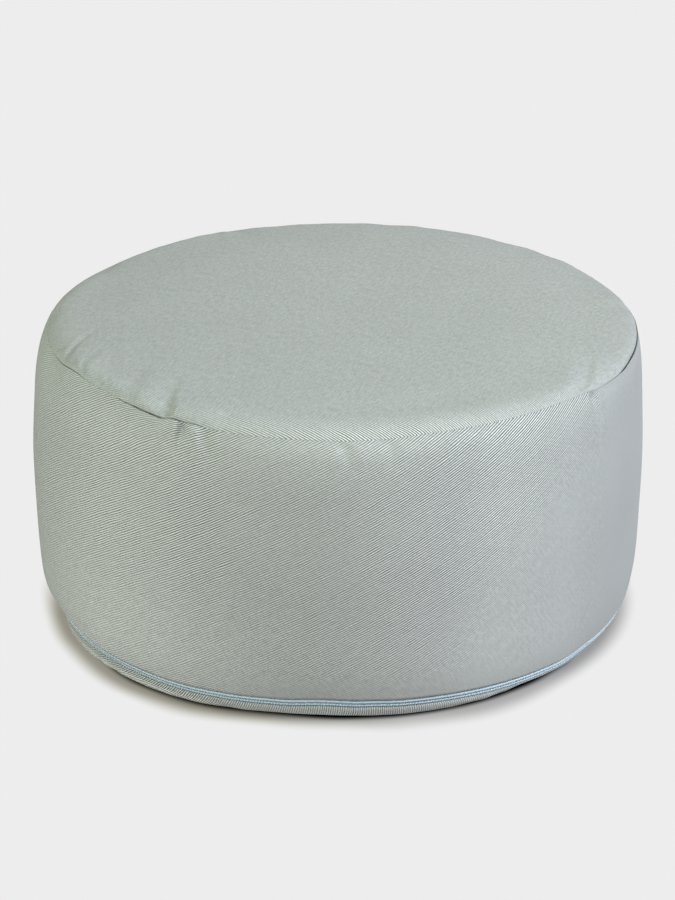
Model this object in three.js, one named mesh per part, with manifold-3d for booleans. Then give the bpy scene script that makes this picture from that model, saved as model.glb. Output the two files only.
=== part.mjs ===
import * as THREE from 'three';
import Module from 'manifold-3d';
import { mergeVertices } from 'three/addons/utils/BufferGeometryUtils.js';

const { degToRad, euclideanModulo, lerp, radToDeg, smoothstep } = THREE.MathUtils;

// A round meditation cushion: a filled drum of twill with a puckered top seam, and a coil zip let
// in round its foot. Millimetres, +Z up, the middle of the foot at the origin, the front at -Y.
// Angles are degrees from the front, growing towards +X.

// Whole drum
const BELLY_RADIUS = 150;
const BELLY_HEIGHT = 85;
const HEIGHT = 154;
const LEAN = 0.0127; // shift towards +X for each millimetre above the belly
const FOOT_SHIFT = 1.6; // the foot sits this far towards +X
const FOOT_SHIFT_END = 24; // height at which that shift ends
const ANGLE_STEP = 3;

// Top seam, and the top panel that rolls up from it to the crown
const SEAM_RADIUS = 142.2;
const SEAM_HEIGHT = 146;
const SEAM_DEPTH = 1.4; // the thread draws the crease in this far between its two lips
const SEAM_SHIFT = 1.8; // the top panel sits this far towards +X
const SEAM_SHIFT_START = 118; // height at which that shift begins
const ROLL_RISES = [
  { angle: -180, value: 0.8 },
  { angle: -115, value: 1.0 },
  { angle: -65, value: 3 },
  { angle: 65, value: 3 },
  { angle: 115, value: 1.0 },
];
const ROLL_LENGTH = 2.5;
const CROWN_POWER = 4;
const TOP_RING_INSETS = [1.2, 2.8, 5.5, 10, 17, 27, 40, 57, 80, 108];

// Foot: the flat part, and the roll of the bottom panel round it
const FOOT_RADIUS = 126;
const FOOT_STEPS = 6;
const FOOT_CORNERS = [
  { angle: -180, value: 138 },
  { angle: -110, value: 142 },
  { angle: -75, value: 145 },
  { angle: -40, value: 145.3 },
  { angle: -29, value: 143.4 },
  { angle: -22, value: 139.5 },
  { angle: -12, value: 135.8 },
  { angle: 0, value: 137.5 },
  { angle: 10, value: 138.2 },
  { angle: 20, value: 137.5 },
  { angle: 29, value: 131 },
  { angle: 36, value: 128 },
  { angle: 45, value: 127.5 },
  { angle: 75, value: 128 },
  { angle: 120, value: 138 },
];

// Side wall: a bend up from the zip, then a row for each section to below the top seam
const LIP_HANDLE = 9;
const WALL_HANDLE = 14;
const WALL_SLOPE = 0.04;
const LOWER_WALL_STEPS = 6;
const WALL_SECTIONS = [
  { height: 52, radius: 149 },
  { height: BELLY_HEIGHT, radius: BELLY_RADIUS },
  { height: 114, radius: 148.8 },
  { height: 131, radius: 147.3 },
  { height: 140.5, radius: 145.4 },
  { height: 144.6, radius: 143.6 },
];
const WALL_STEPS = 11;
const SWELL_START = 16;
const WALL_WAVES = [
  { lobes: 2, depth: 0.5, turn: 35 },
  { lobes: 3, depth: 0.5, turn: -20 },
  { lobes: 7, depth: 0.35, turn: 12 },
];

// Puckers that the top seam draws in. A negative depth is a ridge between two puckers.
const PUCKERS = [
  { panel: 'top', angle: -70, spread: 4, reach: 30, depth: 2.0 },
  { panel: 'top', angle: -57, spread: 4, reach: 38, depth: 2.2 },
  { panel: 'top', angle: -45, spread: 4, reach: 34, depth: 2.2 },
  { panel: 'top', angle: -37, spread: 3, reach: 42, depth: 3.0 },
  { panel: 'top', angle: -30, spread: 4, reach: 26, depth: -1.0 },
  { panel: 'top', angle: -1, spread: 4, reach: 16, depth: 1.0 },
  { panel: 'top', angle: 9, spread: 4, reach: 16, depth: 1.0 },
  { panel: 'top', angle: 15, spread: 4, reach: 18, depth: -0.9 },
  { panel: 'top', angle: 57, spread: 4, reach: 45, depth: 2.0 },
  { panel: 'top', angle: 70, spread: 4, reach: 26, depth: 1.2 },
  { panel: 'top', angle: 98, spread: 4, reach: 30, depth: 1.4 },
  { panel: 'top', angle: 131, spread: 5, reach: 34, depth: 1.6 },
  { panel: 'top', angle: 170, spread: 4, reach: 24, depth: 1.2 },
  { panel: 'top', angle: -161, spread: 4, reach: 40, depth: 1.8 },
  { panel: 'top', angle: -122, spread: 5, reach: 30, depth: 1.5 },
  { panel: 'top', angle: -95, spread: 4, reach: 26, depth: 1.4 },
  { panel: 'wall', angle: -64, spread: 4, reach: 20, depth: 1.0 },
  { panel: 'wall', angle: -35, spread: 3, reach: 24, depth: 2.0 },
  { panel: 'wall', angle: -28, spread: 3, reach: 22, depth: 1.6 },
  { panel: 'wall', angle: -2, spread: 4, reach: 20, depth: 1.0 },
  { panel: 'wall', angle: 8, spread: 4, reach: 20, depth: 1.0 },
  { panel: 'wall', angle: 57, spread: 3, reach: 28, depth: 1.6 },
  { panel: 'wall', angle: 84, spread: 4, reach: 22, depth: 1.2 },
  { panel: 'wall', angle: 118, spread: 4, reach: 24, depth: 1.2 },
  { panel: 'wall', angle: 152, spread: 4, reach: 22, depth: 1.2 },
  { panel: 'wall', angle: -143, spread: 4, reach: 24, depth: 1.4 },
  { panel: 'wall', angle: -104, spread: 4, reach: 22, depth: 1.2 },
];

// Zip, in a channel round the foot that faces a little downwards
const ZIP_RADIUS = 144.4;
const ZIP_HEIGHT = 11.2;
const ZIP_TILTS = [
  { angle: -180, value: 17 },
  { angle: -108, value: 17 },
  { angle: -96, value: 34 },
  { angle: -78, value: 34 },
  { angle: -69, value: 20 },
  { angle: -62, value: 13 },
  { angle: -50, value: 20 },
  { angle: -25, value: 19 },
  { angle: 0, value: 17 },
  { angle: 25, value: 19 },
  { angle: 48, value: 23 },
  { angle: 60, value: 24 },
  { angle: 74, value: 22 },
  { angle: 92, value: 18 },
  { angle: 108, value: 17 },
];
const ZIP_REACHES = [
  { angle: -180, value: 0 },
  { angle: -112, value: -0.6 },
  { angle: -96, value: -3.1 },
  { angle: -78, value: -3.1 },
  { angle: -66, value: -2.4 },
  { angle: -50, value: -0.7 },
  { angle: -35, value: 0 },
  { angle: 0, value: 0 },
  { angle: 30, value: 0.4 },
  { angle: 46, value: 0.2 },
  { angle: 57, value: -1.1 },
  { angle: 68, value: -1.5 },
  { angle: 88, value: -1.3 },
  { angle: 108, value: 0 },
];
const ZIP_LIFTS = [
  { angle: -180, value: 0.2 },
  { angle: -140, value: -0.2 },
  { angle: -100, value: -0.4 },
  { angle: -82, value: -0.3 },
  { angle: -64, value: 0 },
  { angle: -54, value: 0 },
  { angle: -44, value: -0.3 },
  { angle: -30, value: -0.8 },
  { angle: -22, value: -0.5 },
  { angle: -12, value: 0.1 },
  { angle: -3, value: 1.1 },
  { angle: 5, value: 0.3 },
  { angle: 13, value: -0.4 },
  { angle: 35, value: -0.8 },
  { angle: 48, value: -0.8 },
  { angle: 58, value: -0.2 },
  { angle: 70, value: 0 },
  { angle: 90, value: -0.3 },
  { angle: 120, value: 0 },
  { angle: 130, value: 0 },
];
const ZIP_START = -122;
const ZIP_LENGTH = 600;
const ZIP_FINISH = ZIP_START + radToDeg(ZIP_LENGTH / ZIP_RADIUS);
const ZIP_STEPS = 80;
const CLEARANCE = 0.3;
const CHANNEL_DEPTH = 2.2;
const CHANNEL_HALF_WIDTH = 4;
const CHANNEL_FLOOR_HALF_WIDTH = 3.9;
const CHANNEL_END = 124.5; // the channel closes to a plain seam past this angle
const CHANNEL_TAPER = 3;
const PLAIN_SEAM_DEPTH = 1.6;
const PLAIN_SEAM_HALF_WIDTH = 0.9;
const PLAIN_SEAM_FLOOR_HALF_WIDTH = 0.4;
const TAPE_THICKNESS = 0.9;
const TAPE_HALF_GAP = 0.3;
const TAPE_EDGE = 3.6;
const COIL_WIDTH = 2.1;
const COIL_HEIGHT = 1.5;
const COIL_HALF_GAP = 0.2;
const COIL_SIDES = 6;

// Slider at the zip's end behind the cushion, and its pull
const SLIDER_LENGTH = 10.5;
const SLIDER_WIDTH = 7;
const SLIDER_TAIL_WIDTH = 5.4;
const SLIDER_HEIGHT = 3.6;
const SLIDER_BEVEL = 0.4;
const BRIDGE_LENGTH = 6.4;
const BRIDGE_HEIGHT = 3.6;
const BRIDGE_WIDTH = 2.0;
const BRIDGE_BAR = 1.0;
const PULL_LENGTH = 22;
const PULL_WIDTH = 6.4;
const PULL_TIP_WIDTH = 5;
const PULL_THICKNESS = 1.2;
const PULL_EYE_LENGTH = 3.2;
const PULL_EYE_WIDTH = 3.4;
const PULL_EYE_EDGE = 1.3;
const PULL_SWING = degToRad(8); // dips towards the cloth that it lies on

const TWILL = { color: 0xa9b1aa, roughness: 0.95, metalness: 0 };
const ZIP_BLUE = { color: 0x9db6c0, roughness: 0.6, metalness: 0 };
const SLIDER_BLUE = { color: 0x86a0ab, roughness: 0.4, metalness: 0.3 };

// Sum of a few even waves round the drum.
function waveSum(waves, angle) {
  return waves.reduce(
    (sum, wave) => sum + wave.depth * Math.cos(degToRad(wave.lobes * (angle - wave.turn))),
    0,
  );
}

// Value at an angle, eased between rows that each hold an angle and a value.
function roundValue(rows, angle) {
  const first = rows[0];
  const turned = first.angle + euclideanModulo(angle - first.angle, 360);
  const passed = rows.filter((row) => row.angle <= turned);
  const low = passed[passed.length - 1];
  const high = rows[passed.length] ?? { angle: first.angle + 360, value: first.value };
  return lerp(low.value, high.value, smoothstep(turned, low.angle, high.angle));
}

// Point of the drum at an angle, radius and height, with its slight lean.
function drumPoint(angle, radius, height) {
  const turn = degToRad(angle);
  const lean = LEAN * Math.max(height - BELLY_HEIGHT, 0);
  const topShift = SEAM_SHIFT * smoothstep(height, SEAM_SHIFT_START, SEAM_HEIGHT);
  const footShift = FOOT_SHIFT * (1 - smoothstep(height, 0, FOOT_SHIFT_END));
  return new THREE.Vector3(
    radius * Math.sin(turn) + lean + topShift + footShift,
    -radius * Math.cos(turn),
    height,
  );
}

function zipTilt(angle) {
  return degToRad(roundValue(ZIP_TILTS, angle));
}

// Radius and height on the zip's band: rise runs up along the band, out stands off it.
function zipPlace(angle, rise, out) {
  const tilt = zipTilt(angle);
  const radius = ZIP_RADIUS + roundValue(ZIP_REACHES, angle);
  const height = ZIP_HEIGHT + roundValue(ZIP_LIFTS, angle);
  return new THREE.Vector2(
    radius + rise * Math.sin(tilt) + out * Math.cos(tilt),
    height + rise * Math.cos(tilt) - out * Math.sin(tilt),
  );
}

function zipPoint(angle, rise, out) {
  const place = zipPlace(angle, rise, out);
  return drumPoint(angle, place.x, place.y);
}

// Depth that the seam's puckers draw a panel in, at a distance from the seam.
function puckerDepth(panel, angle, distance) {
  return PUCKERS
    .filter((pucker) => pucker.panel === panel && distance < pucker.reach)
    .reduce((sum, pucker) => {
      const turn = euclideanModulo(angle - pucker.angle + 180, 360) - 180;
      const across = Math.exp(-((turn / pucker.spread) ** 2));
      const along = (1 - distance / pucker.reach) ** 2;
      return sum + pucker.depth * across * along;
    }, 0);
}

// Rings of the cushion, from the foot to the crown. Each is a function from angle to point.

// Share of the zip's channel that is open at an angle: 1 along the zip, 0 at the plain seam.
function channelOpening(angle) {
  return 1 - smoothstep(Math.abs(angle), CHANNEL_END, CHANNEL_END + CHANNEL_TAPER);
}

function channelRing(side, wideHalfWidth, narrowHalfWidth, wideDepth, narrowDepth) {
  return (angle) => {
    const opening = channelOpening(angle);
    const halfWidth = lerp(narrowHalfWidth, wideHalfWidth, opening);
    const depth = lerp(narrowDepth, wideDepth, opening);
    return zipPoint(angle, side * halfWidth, -depth);
  };
}

function channelRings() {
  const lip = [CHANNEL_HALF_WIDTH, PLAIN_SEAM_HALF_WIDTH, 0, 0];
  const floor = [CHANNEL_FLOOR_HALF_WIDTH, PLAIN_SEAM_FLOOR_HALF_WIDTH, CHANNEL_DEPTH, PLAIN_SEAM_DEPTH];
  return [
    channelRing(-1, ...lip),
    channelRing(-1, ...floor),
    channelRing(1, ...floor),
    channelRing(1, ...lip),
  ];
}

// The bottom panel rolls round from the zip's lower lip to the flat foot, on a parabola that
// lands flat.
function footRings() {
  const shares = Array.from({ length: FOOT_STEPS }, (_, step) => step / FOOT_STEPS);
  return shares.map((share) => (angle) => {
    const roll = new THREE.QuadraticBezierCurve(
      new THREE.Vector2(FOOT_RADIUS, 0),
      new THREE.Vector2(roundValue(FOOT_CORNERS, angle), 0),
      zipPlace(angle, -CHANNEL_HALF_WIDTH, 0),
    );
    const point = roll.getPoint(share);
    return drumPoint(angle, point.x, point.y);
  });
}

// The wall's slow waves at an angle, strongest half way up.
function wallSwell(angle, height) {
  const share = Math.max(0, (height - SWELL_START) / (SEAM_HEIGHT - SWELL_START));
  return Math.sin(Math.PI * share) * waveSum(WALL_WAVES, angle);
}

// The wall bends up from the zip's upper lip, which leans under it at the sides.
function lowerWallRings() {
  const shares = Array.from({ length: LOWER_WALL_STEPS - 1 }, (_, step) => (step + 1) / LOWER_WALL_STEPS);
  const [end] = WALL_SECTIONS;
  return shares.map((share) => (angle) => {
    const tilt = zipTilt(angle);
    const rise = lerp(PLAIN_SEAM_HALF_WIDTH, CHANNEL_HALF_WIDTH, channelOpening(angle));
    const lip = zipPlace(angle, rise, 0);
    const bend = new THREE.CubicBezierCurve(
      lip,
      new THREE.Vector2(lip.x + LIP_HANDLE * Math.sin(tilt), lip.y + LIP_HANDLE * Math.cos(tilt)),
      new THREE.Vector2(end.radius - WALL_HANDLE * WALL_SLOPE, end.height - WALL_HANDLE),
      new THREE.Vector2(end.radius, end.height),
    );
    const point = bend.getPoint(share);
    return drumPoint(angle, point.x + wallSwell(angle, point.y), point.y);
  });
}

function wallRings() {
  const outline = new THREE.SplineCurve(
    WALL_SECTIONS.map((section) => new THREE.Vector2(section.radius, section.height)),
  );
  return outline.getPoints(WALL_STEPS).map((point) => (angle) => {
    const pucker = puckerDepth('wall', angle, SEAM_HEIGHT - point.y);
    return drumPoint(angle, point.x + wallSwell(angle, point.y) - pucker, point.y);
  });
}

function seamRing(angle) {
  const inset = SEAM_DEPTH * Math.SQRT1_2;
  return drumPoint(angle, SEAM_RADIUS - inset, SEAM_HEIGHT - inset);
}

// Height of the top panel, which rolls up higher from the seam at the front than at the back.
function crownHeight(angle, radius) {
  const rollRise = roundValue(ROLL_RISES, angle);
  const roll = rollRise * (1 - Math.exp((radius - SEAM_RADIUS) / ROLL_LENGTH));
  const crownRise = HEIGHT - SEAM_HEIGHT - rollRise;
  const crown = crownRise * (1 - (radius / SEAM_RADIUS) ** CROWN_POWER);
  return SEAM_HEIGHT + roll + crown;
}

function topRings() {
  return TOP_RING_INSETS.map((inset) => {
    const radius = SEAM_RADIUS - inset;
    return (angle) => {
      const point = drumPoint(angle, radius, crownHeight(angle, radius));
      point.z -= puckerDepth('top', angle, inset);
      return point;
    };
  });
}

// Closed geometry from points and triangles that share them.
function indexedGeometry(points, triangles) {
  const geometry = new THREE.BufferGeometry();
  geometry.setAttribute('position', new THREE.Float32BufferAttribute(points.flatMap((p) => p.toArray()), 3));
  geometry.setIndex(triangles.flat());
  geometry.computeVertexNormals();
  return geometry;
}

// The filled drum: rings joined by quads, with a fan to the middle of the foot and of the crown.
function cushionGeometry() {
  const rings = [
    ...footRings(),
    ...channelRings(),
    ...lowerWallRings(),
    ...wallRings(),
    seamRing,
    ...topRings(),
  ];
  const count = 360 / ANGLE_STEP;
  const angles = Array.from({ length: count }, (_, step) => -180 + step * ANGLE_STEP);
  const points = rings.flatMap((ring) => angles.map(ring));
  const footMiddle = points.push(drumPoint(0, 0, 0)) - 1;
  const crownMiddle = points.push(drumPoint(0, 0, HEIGHT)) - 1;
  const triangles = [];
  for (let step = 0; step < count; step += 1) {
    const next = (step + 1) % count;
    triangles.push([footMiddle, next, step]);
    for (let row = 0; row < rings.length - 1; row += 1) {
      const low = row * count;
      const high = low + count;
      triangles.push([low + step, low + next, high + next], [low + step, high + next, high + step]);
    }
    const rim = (rings.length - 1) * count;
    triangles.push([crownMiddle, rim + step, rim + next]);
  }
  return indexedGeometry(points, triangles);
}

// One half of the zip: a flat tape with its coil as a half-round bead along the inner edge.
function stringerSection() {
  const tapeBack = CLEARANCE - CHANNEL_DEPTH;
  const tapeFace = tapeBack + TAPE_THICKNESS;
  const section = [
    new THREE.Vector2(TAPE_HALF_GAP, tapeBack),
    new THREE.Vector2(TAPE_EDGE, tapeBack),
    new THREE.Vector2(TAPE_EDGE, tapeFace),
  ];
  for (let side = 0; side <= COIL_SIDES; side += 1) {
    const turn = (Math.PI * side) / COIL_SIDES;
    const rise = COIL_HALF_GAP + (COIL_WIDTH / 2) * (1 + Math.cos(turn));
    section.push(new THREE.Vector2(rise, tapeFace + COIL_HEIGHT * Math.sin(turn)));
  }
  return section;
}

function stringerGeometry(side) {
  const section = stringerSection();
  const size = section.length;
  const points = [];
  for (let step = 0; step <= ZIP_STEPS; step += 1) {
    const angle = lerp(ZIP_START, ZIP_FINISH, step / ZIP_STEPS);
    section.forEach((corner) => points.push(zipPoint(angle, side * corner.x, corner.y)));
  }
  const triangles = [];
  for (let step = 0; step < ZIP_STEPS; step += 1) {
    for (let corner = 0; corner < size; corner += 1) {
      const here = step * size + corner;
      const beside = step * size + ((corner + 1) % size);
      triangles.push([here, beside, beside + size], [here, beside + size, here + size]);
    }
  }
  const end = ZIP_STEPS * size;
  THREE.ShapeUtils.triangulateShape(section, []).forEach(([a, b, c]) => {
    triangles.push([a, c, b], [end + a, end + b, end + c]);
  });
  const facingOut = side > 0 ? triangles : triangles.map(([a, b, c]) => [a, c, b]);
  return indexedGeometry(points, facingOut);
}

const wasm = await Module();
wasm.setup();

// Solid for a boolean join, from a closed geometry.
function solidOf(geometry) {
  const bare = geometry.clone();
  bare.deleteAttribute('normal');
  bare.deleteAttribute('uv');
  const merged = mergeVertices(bare);
  return new wasm.Manifold(new wasm.Mesh({
    numProp: 3,
    vertProperties: new Float32Array(merged.attributes.position.array),
    triVerts: new Uint32Array(merged.index.array),
  }));
}

function geometryOf(solid) {
  const mesh = solid.getMesh();
  const geometry = new THREE.BufferGeometry();
  geometry.setAttribute('position', new THREE.BufferAttribute(mesh.vertProperties, 3));
  geometry.setIndex(new THREE.BufferAttribute(mesh.triVerts, 1));
  geometry.computeVertexNormals();
  return geometry;
}

// Slider: a body that narrows to its tail along +X, with an arched bridge on its +Z face.
function sliderGeometry() {
  const outline = new THREE.Shape();
  outline.moveTo(0, -SLIDER_WIDTH / 2);
  outline.lineTo(SLIDER_LENGTH / 2, -SLIDER_WIDTH / 2);
  outline.lineTo(SLIDER_LENGTH, -SLIDER_TAIL_WIDTH / 2);
  outline.lineTo(SLIDER_LENGTH, SLIDER_TAIL_WIDTH / 2);
  outline.lineTo(SLIDER_LENGTH / 2, SLIDER_WIDTH / 2);
  outline.lineTo(0, SLIDER_WIDTH / 2);
  outline.closePath();
  const body = new THREE.ExtrudeGeometry(outline, {
    depth: SLIDER_HEIGHT - 2 * SLIDER_BEVEL,
    bevelEnabled: true,
    bevelThickness: SLIDER_BEVEL,
    bevelSize: SLIDER_BEVEL,
    bevelOffset: -SLIDER_BEVEL,
    bevelSegments: 1,
  });
  body.translate(0, 0, SLIDER_BEVEL);

  const arch = new THREE.Shape();
  arch.moveTo(0, -SLIDER_BEVEL);
  arch.lineTo(BRIDGE_LENGTH, -SLIDER_BEVEL);
  arch.lineTo(BRIDGE_LENGTH, BRIDGE_HEIGHT / 2);
  arch.lineTo(BRIDGE_LENGTH - BRIDGE_BAR, BRIDGE_HEIGHT);
  arch.lineTo(BRIDGE_BAR, BRIDGE_HEIGHT);
  arch.lineTo(0, BRIDGE_HEIGHT / 2);
  arch.closePath();
  const eye = new THREE.Path();
  eye.moveTo(BRIDGE_BAR, 0);
  eye.lineTo(BRIDGE_BAR, BRIDGE_HEIGHT - BRIDGE_BAR);
  eye.lineTo(BRIDGE_LENGTH - BRIDGE_BAR, BRIDGE_HEIGHT - BRIDGE_BAR);
  eye.lineTo(BRIDGE_LENGTH - BRIDGE_BAR, 0);
  eye.closePath();
  arch.holes.push(eye);
  const bridge = new THREE.ExtrudeGeometry(arch, { depth: BRIDGE_WIDTH, bevelEnabled: false });
  bridge.translate(0, 0, -BRIDGE_WIDTH / 2);
  bridge.rotateX(Math.PI / 2);
  bridge.translate((SLIDER_LENGTH - BRIDGE_LENGTH) / 2, 0, SLIDER_HEIGHT);
  return geometryOf(solidOf(body).add(solidOf(bridge)));
}

// Pull: a flat tab along +X with an eye that goes round the bridge's tail end.
function pullGeometry() {
  const tab = new THREE.Shape();
  tab.moveTo(0, -PULL_WIDTH / 2);
  tab.lineTo(PULL_LENGTH - PULL_TIP_WIDTH / 2, -PULL_TIP_WIDTH / 2);
  tab.absarc(PULL_LENGTH - PULL_TIP_WIDTH / 2, 0, PULL_TIP_WIDTH / 2, -Math.PI / 2, Math.PI / 2);
  tab.lineTo(0, PULL_WIDTH / 2);
  tab.closePath();
  const eye = new THREE.Path();
  eye.moveTo(PULL_EYE_EDGE, -PULL_EYE_WIDTH / 2);
  eye.lineTo(PULL_EYE_EDGE, PULL_EYE_WIDTH / 2);
  eye.lineTo(PULL_EYE_EDGE + PULL_EYE_LENGTH, PULL_EYE_WIDTH / 2);
  eye.lineTo(PULL_EYE_EDGE + PULL_EYE_LENGTH, -PULL_EYE_WIDTH / 2);
  eye.closePath();
  tab.holes.push(eye);
  return new THREE.ExtrudeGeometry(tab, { depth: PULL_THICKNESS, bevelEnabled: false, curveSegments: 6 });
}

function namedMesh(name, geometry, finish) {
  const mesh = new THREE.Mesh(geometry, new THREE.MeshStandardMaterial(finish));
  mesh.name = name;
  return mesh;
}

// The slider's frame: +X runs on along the zip, +Y up across it and +Z off the cloth.
function sliderGroup() {
  const gapAngle = radToDeg(CLEARANCE / ZIP_RADIUS);
  const start = zipPoint(ZIP_FINISH + gapAngle, 0, CLEARANCE - CHANNEL_DEPTH);
  const middle = ZIP_FINISH + radToDeg(SLIDER_LENGTH / 2 / ZIP_RADIUS);
  const turn = degToRad(middle);
  const tilt = zipTilt(middle);
  const along = new THREE.Vector3(Math.cos(turn), Math.sin(turn), 0);
  const out = new THREE.Vector3(
    Math.sin(turn) * Math.cos(tilt),
    -Math.cos(turn) * Math.cos(tilt),
    -Math.sin(tilt),
  );
  const across = new THREE.Vector3().crossVectors(out, along);
  const group = new THREE.Group();
  group.quaternion.setFromRotationMatrix(new THREE.Matrix4().makeBasis(along, across, out));
  group.position.copy(start);
  group.add(namedMesh('zip_slider', sliderGeometry(), SLIDER_BLUE));

  const pull = namedMesh('zip_pull', pullGeometry(), SLIDER_BLUE);
  const bridgeTail = (SLIDER_LENGTH + BRIDGE_LENGTH) / 2;
  const pullStart = bridgeTail - BRIDGE_BAR - CLEARANCE - PULL_EYE_EDGE;
  const pullLift = CLEARANCE + (SLIDER_LENGTH - pullStart) * Math.tan(PULL_SWING);
  pull.position.set(pullStart, 0, SLIDER_HEIGHT + pullLift);
  pull.rotation.y = PULL_SWING;
  group.add(pull);
  return group;
}

const cushion = new THREE.Group();
cushion.add(
  namedMesh('cushion', cushionGeometry(), TWILL),
  namedMesh('zip_stringer_upper', stringerGeometry(1), ZIP_BLUE),
  namedMesh('zip_stringer_lower', stringerGeometry(-1), ZIP_BLUE),
  sliderGroup(),
);

export default cushion;
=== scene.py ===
"""A round meditation cushion in sage twill with a coil zip round its foot, dressed around its solids."""

import logging
import math
import random
from dataclasses import dataclass
from enum import Enum
from functools import cached_property
from typing import Sequence

import bmesh
import bpy
import numpy as np
from mathutils import Matrix, Vector


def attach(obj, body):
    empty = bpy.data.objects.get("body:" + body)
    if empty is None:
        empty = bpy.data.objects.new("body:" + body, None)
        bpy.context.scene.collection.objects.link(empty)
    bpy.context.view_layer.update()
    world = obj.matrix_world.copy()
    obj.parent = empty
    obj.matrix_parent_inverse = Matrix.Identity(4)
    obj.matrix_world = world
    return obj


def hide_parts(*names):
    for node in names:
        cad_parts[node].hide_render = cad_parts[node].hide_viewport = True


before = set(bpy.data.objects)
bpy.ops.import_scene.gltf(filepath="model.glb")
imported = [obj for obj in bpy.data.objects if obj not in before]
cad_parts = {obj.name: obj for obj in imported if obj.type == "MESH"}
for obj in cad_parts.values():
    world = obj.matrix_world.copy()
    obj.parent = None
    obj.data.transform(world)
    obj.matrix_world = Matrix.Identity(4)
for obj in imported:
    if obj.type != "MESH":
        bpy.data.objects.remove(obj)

LOG = logging.getLogger("meditation_cushion")
MM = 0.001
TURN = 360.0
CURVE_STEPS = 40
FABRIC_MAP = "fabric"
WEAVE = "weave"
PAINTED_LIGHT = "painted_light"
OFF = "off"
FLOOR_GLOW_AND_PAINTED_SHADOW = "glow"

Array = np.ndarray
Number = np.ndarray | float
Piece = bpy.types.Object
Material = bpy.types.Material
Mesh = bpy.types.Mesh
Socket = bpy.types.NodeSocket
Key = str | int
Inputs = dict[str | int, object]
Pair = tuple[float, float]
Triple = tuple[float, float, float]
Colour = tuple[float, float, float]
Table = dict[float, float]


class Panel(Enum):
    """The three pieces of cloth that the cover is sewn from."""

    TOP = "top"
    WALL = "wall"
    BOTTOM = "bottom"


class ZipSide(Enum):
    """The two halves of the zip, with the way that each lies across the band."""

    UPPER = 1
    LOWER = -1


def mix(first: Number, second: Number, share: Number) -> Number:
    """Returns a value between two, by a share."""
    return first + (second - first) * share


def smoothstep(value: Number, low: float, high: float) -> Number:
    """Returns 0 below low, 1 above high and a smooth rise between."""
    share = np.clip((value - low) / (high - low), 0.0, 1.0)
    return share * share * (3.0 - 2.0 * share)


def slope(angle: Array, across: float, up: float) -> Array:
    """Returns the sine of each angle times across, beside its cosine times up."""
    return np.stack([across * np.sin(angle), up * np.cos(angle)], axis=-1)


def lengths_along(path: Array) -> Array:
    """Returns the distance along a path at each of its points."""
    return np.concatenate([[0.0], np.cumsum(np.linalg.norm(np.diff(path, axis=0), axis=1))])


def around(table: Table, angle: Array) -> Array:
    """Reads smooth values round the drum from a table of a few angles.

    Args:
        table: Values by angle in degrees, at rising angles.
        angle: Angles in degrees.

    Returns:
        The value at each angle.
    """
    first = next(iter(table))
    stops = np.array([*table, first + TURN])
    values = np.array([*table.values(), table[first]])
    turned = (angle - first) % TURN + first
    row = np.clip(np.searchsorted(stops, turned, side="right") - 1, 0, len(table) - 1)
    share = smoothstep((turned - stops[row]) / (stops[row + 1] - stops[row]), 0.0, 1.0)
    return mix(values[row], values[row + 1], share)


def smooth_curve(corners: Sequence[Pair], count: int) -> Array:
    """Draws a smooth curve through some corners.

    Args:
        corners: Points that the curve passes through, each a radius and a height.
        count: Number of points wanted, evenly spaced.

    Returns:
        One row of radius and height for each point.
    """
    knots = np.array([corners[0], *corners, corners[-1]])
    fine = np.linspace(0.0, len(corners) - 1.0, CURVE_STEPS * len(corners))
    first = np.minimum(fine.astype(int), len(corners) - 2)
    t = (fine - first)[:, None]
    a, b, c, d = (knots[first + step] for step in range(4))
    curved = (2 * a - 5 * b + 4 * c - d) * t ** 2 + (3 * b - a - 3 * c + d) * t ** 3
    path = 0.5 * (2 * b + (c - a) * t + curved)
    length = lengths_along(path)
    wanted = np.linspace(0.0, length[-1], count)
    return np.stack([np.interp(wanted, length, path[:, axis]) for axis in range(2)], axis=1)


def bend(ends: Sequence[Array], share: float) -> Array:
    """Reads one ring of a bent strip.

    Args:
        ends: The strip's start, its two handles and its end, each a radius and a height at each angle.
        share: Place along the strip, from 0 to 1.

    Returns:
        The radius and the height at each angle.
    """
    rest = 1.0 - share
    weights = (rest ** 3, 3 * share * rest ** 2, 3 * share ** 2 * rest, share ** 3)
    return sum(weight * end for weight, end in zip(weights, ends))


def grid_faces(rows: int, columns: int) -> list[list[int]]:
    """Joins rings of corners by faces.

    Args:
        rows: Number of rings.
        columns: Number of corners in each ring.

    Returns:
        The four corner numbers of each face, ring by ring.
    """
    low = np.arange((rows - 1) * columns).reshape(-1, columns)
    beside = np.roll(low, -1, axis=1)
    return np.stack([low, beside, beside + columns, low + columns], axis=-1).reshape(-1, 4).tolist()


def add_node(tree: bpy.types.NodeTree, kind: str, inputs: Inputs, **settings: object) -> bpy.types.Node:
    """Adds a node to a tree.

    Args:
        tree: Tree that the node goes into.
        kind: The node's type.
        inputs: Values or sockets for its inputs, by name or number.
        settings: Values for its properties.

    Returns:
        The new node.
    """
    node = tree.nodes.new(kind)
    for key, value in settings.items():
        setattr(node, key, value)
    for key, value in inputs.items():
        if isinstance(value, Socket):
            tree.links.new(value, node.inputs[key])
        else:
            node.inputs[key].default_value = value
    return node


def placed(name: str, data: bpy.types.ID) -> Piece:
    """Makes an object at the origin.

    Args:
        name: Name of the object.
        data: Its mesh, lamp or camera.

    Returns:
        The new object, linked to the scene.
    """
    piece = bpy.data.objects.new(name, data)
    bpy.context.scene.collection.objects.link(piece)
    return piece


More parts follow.
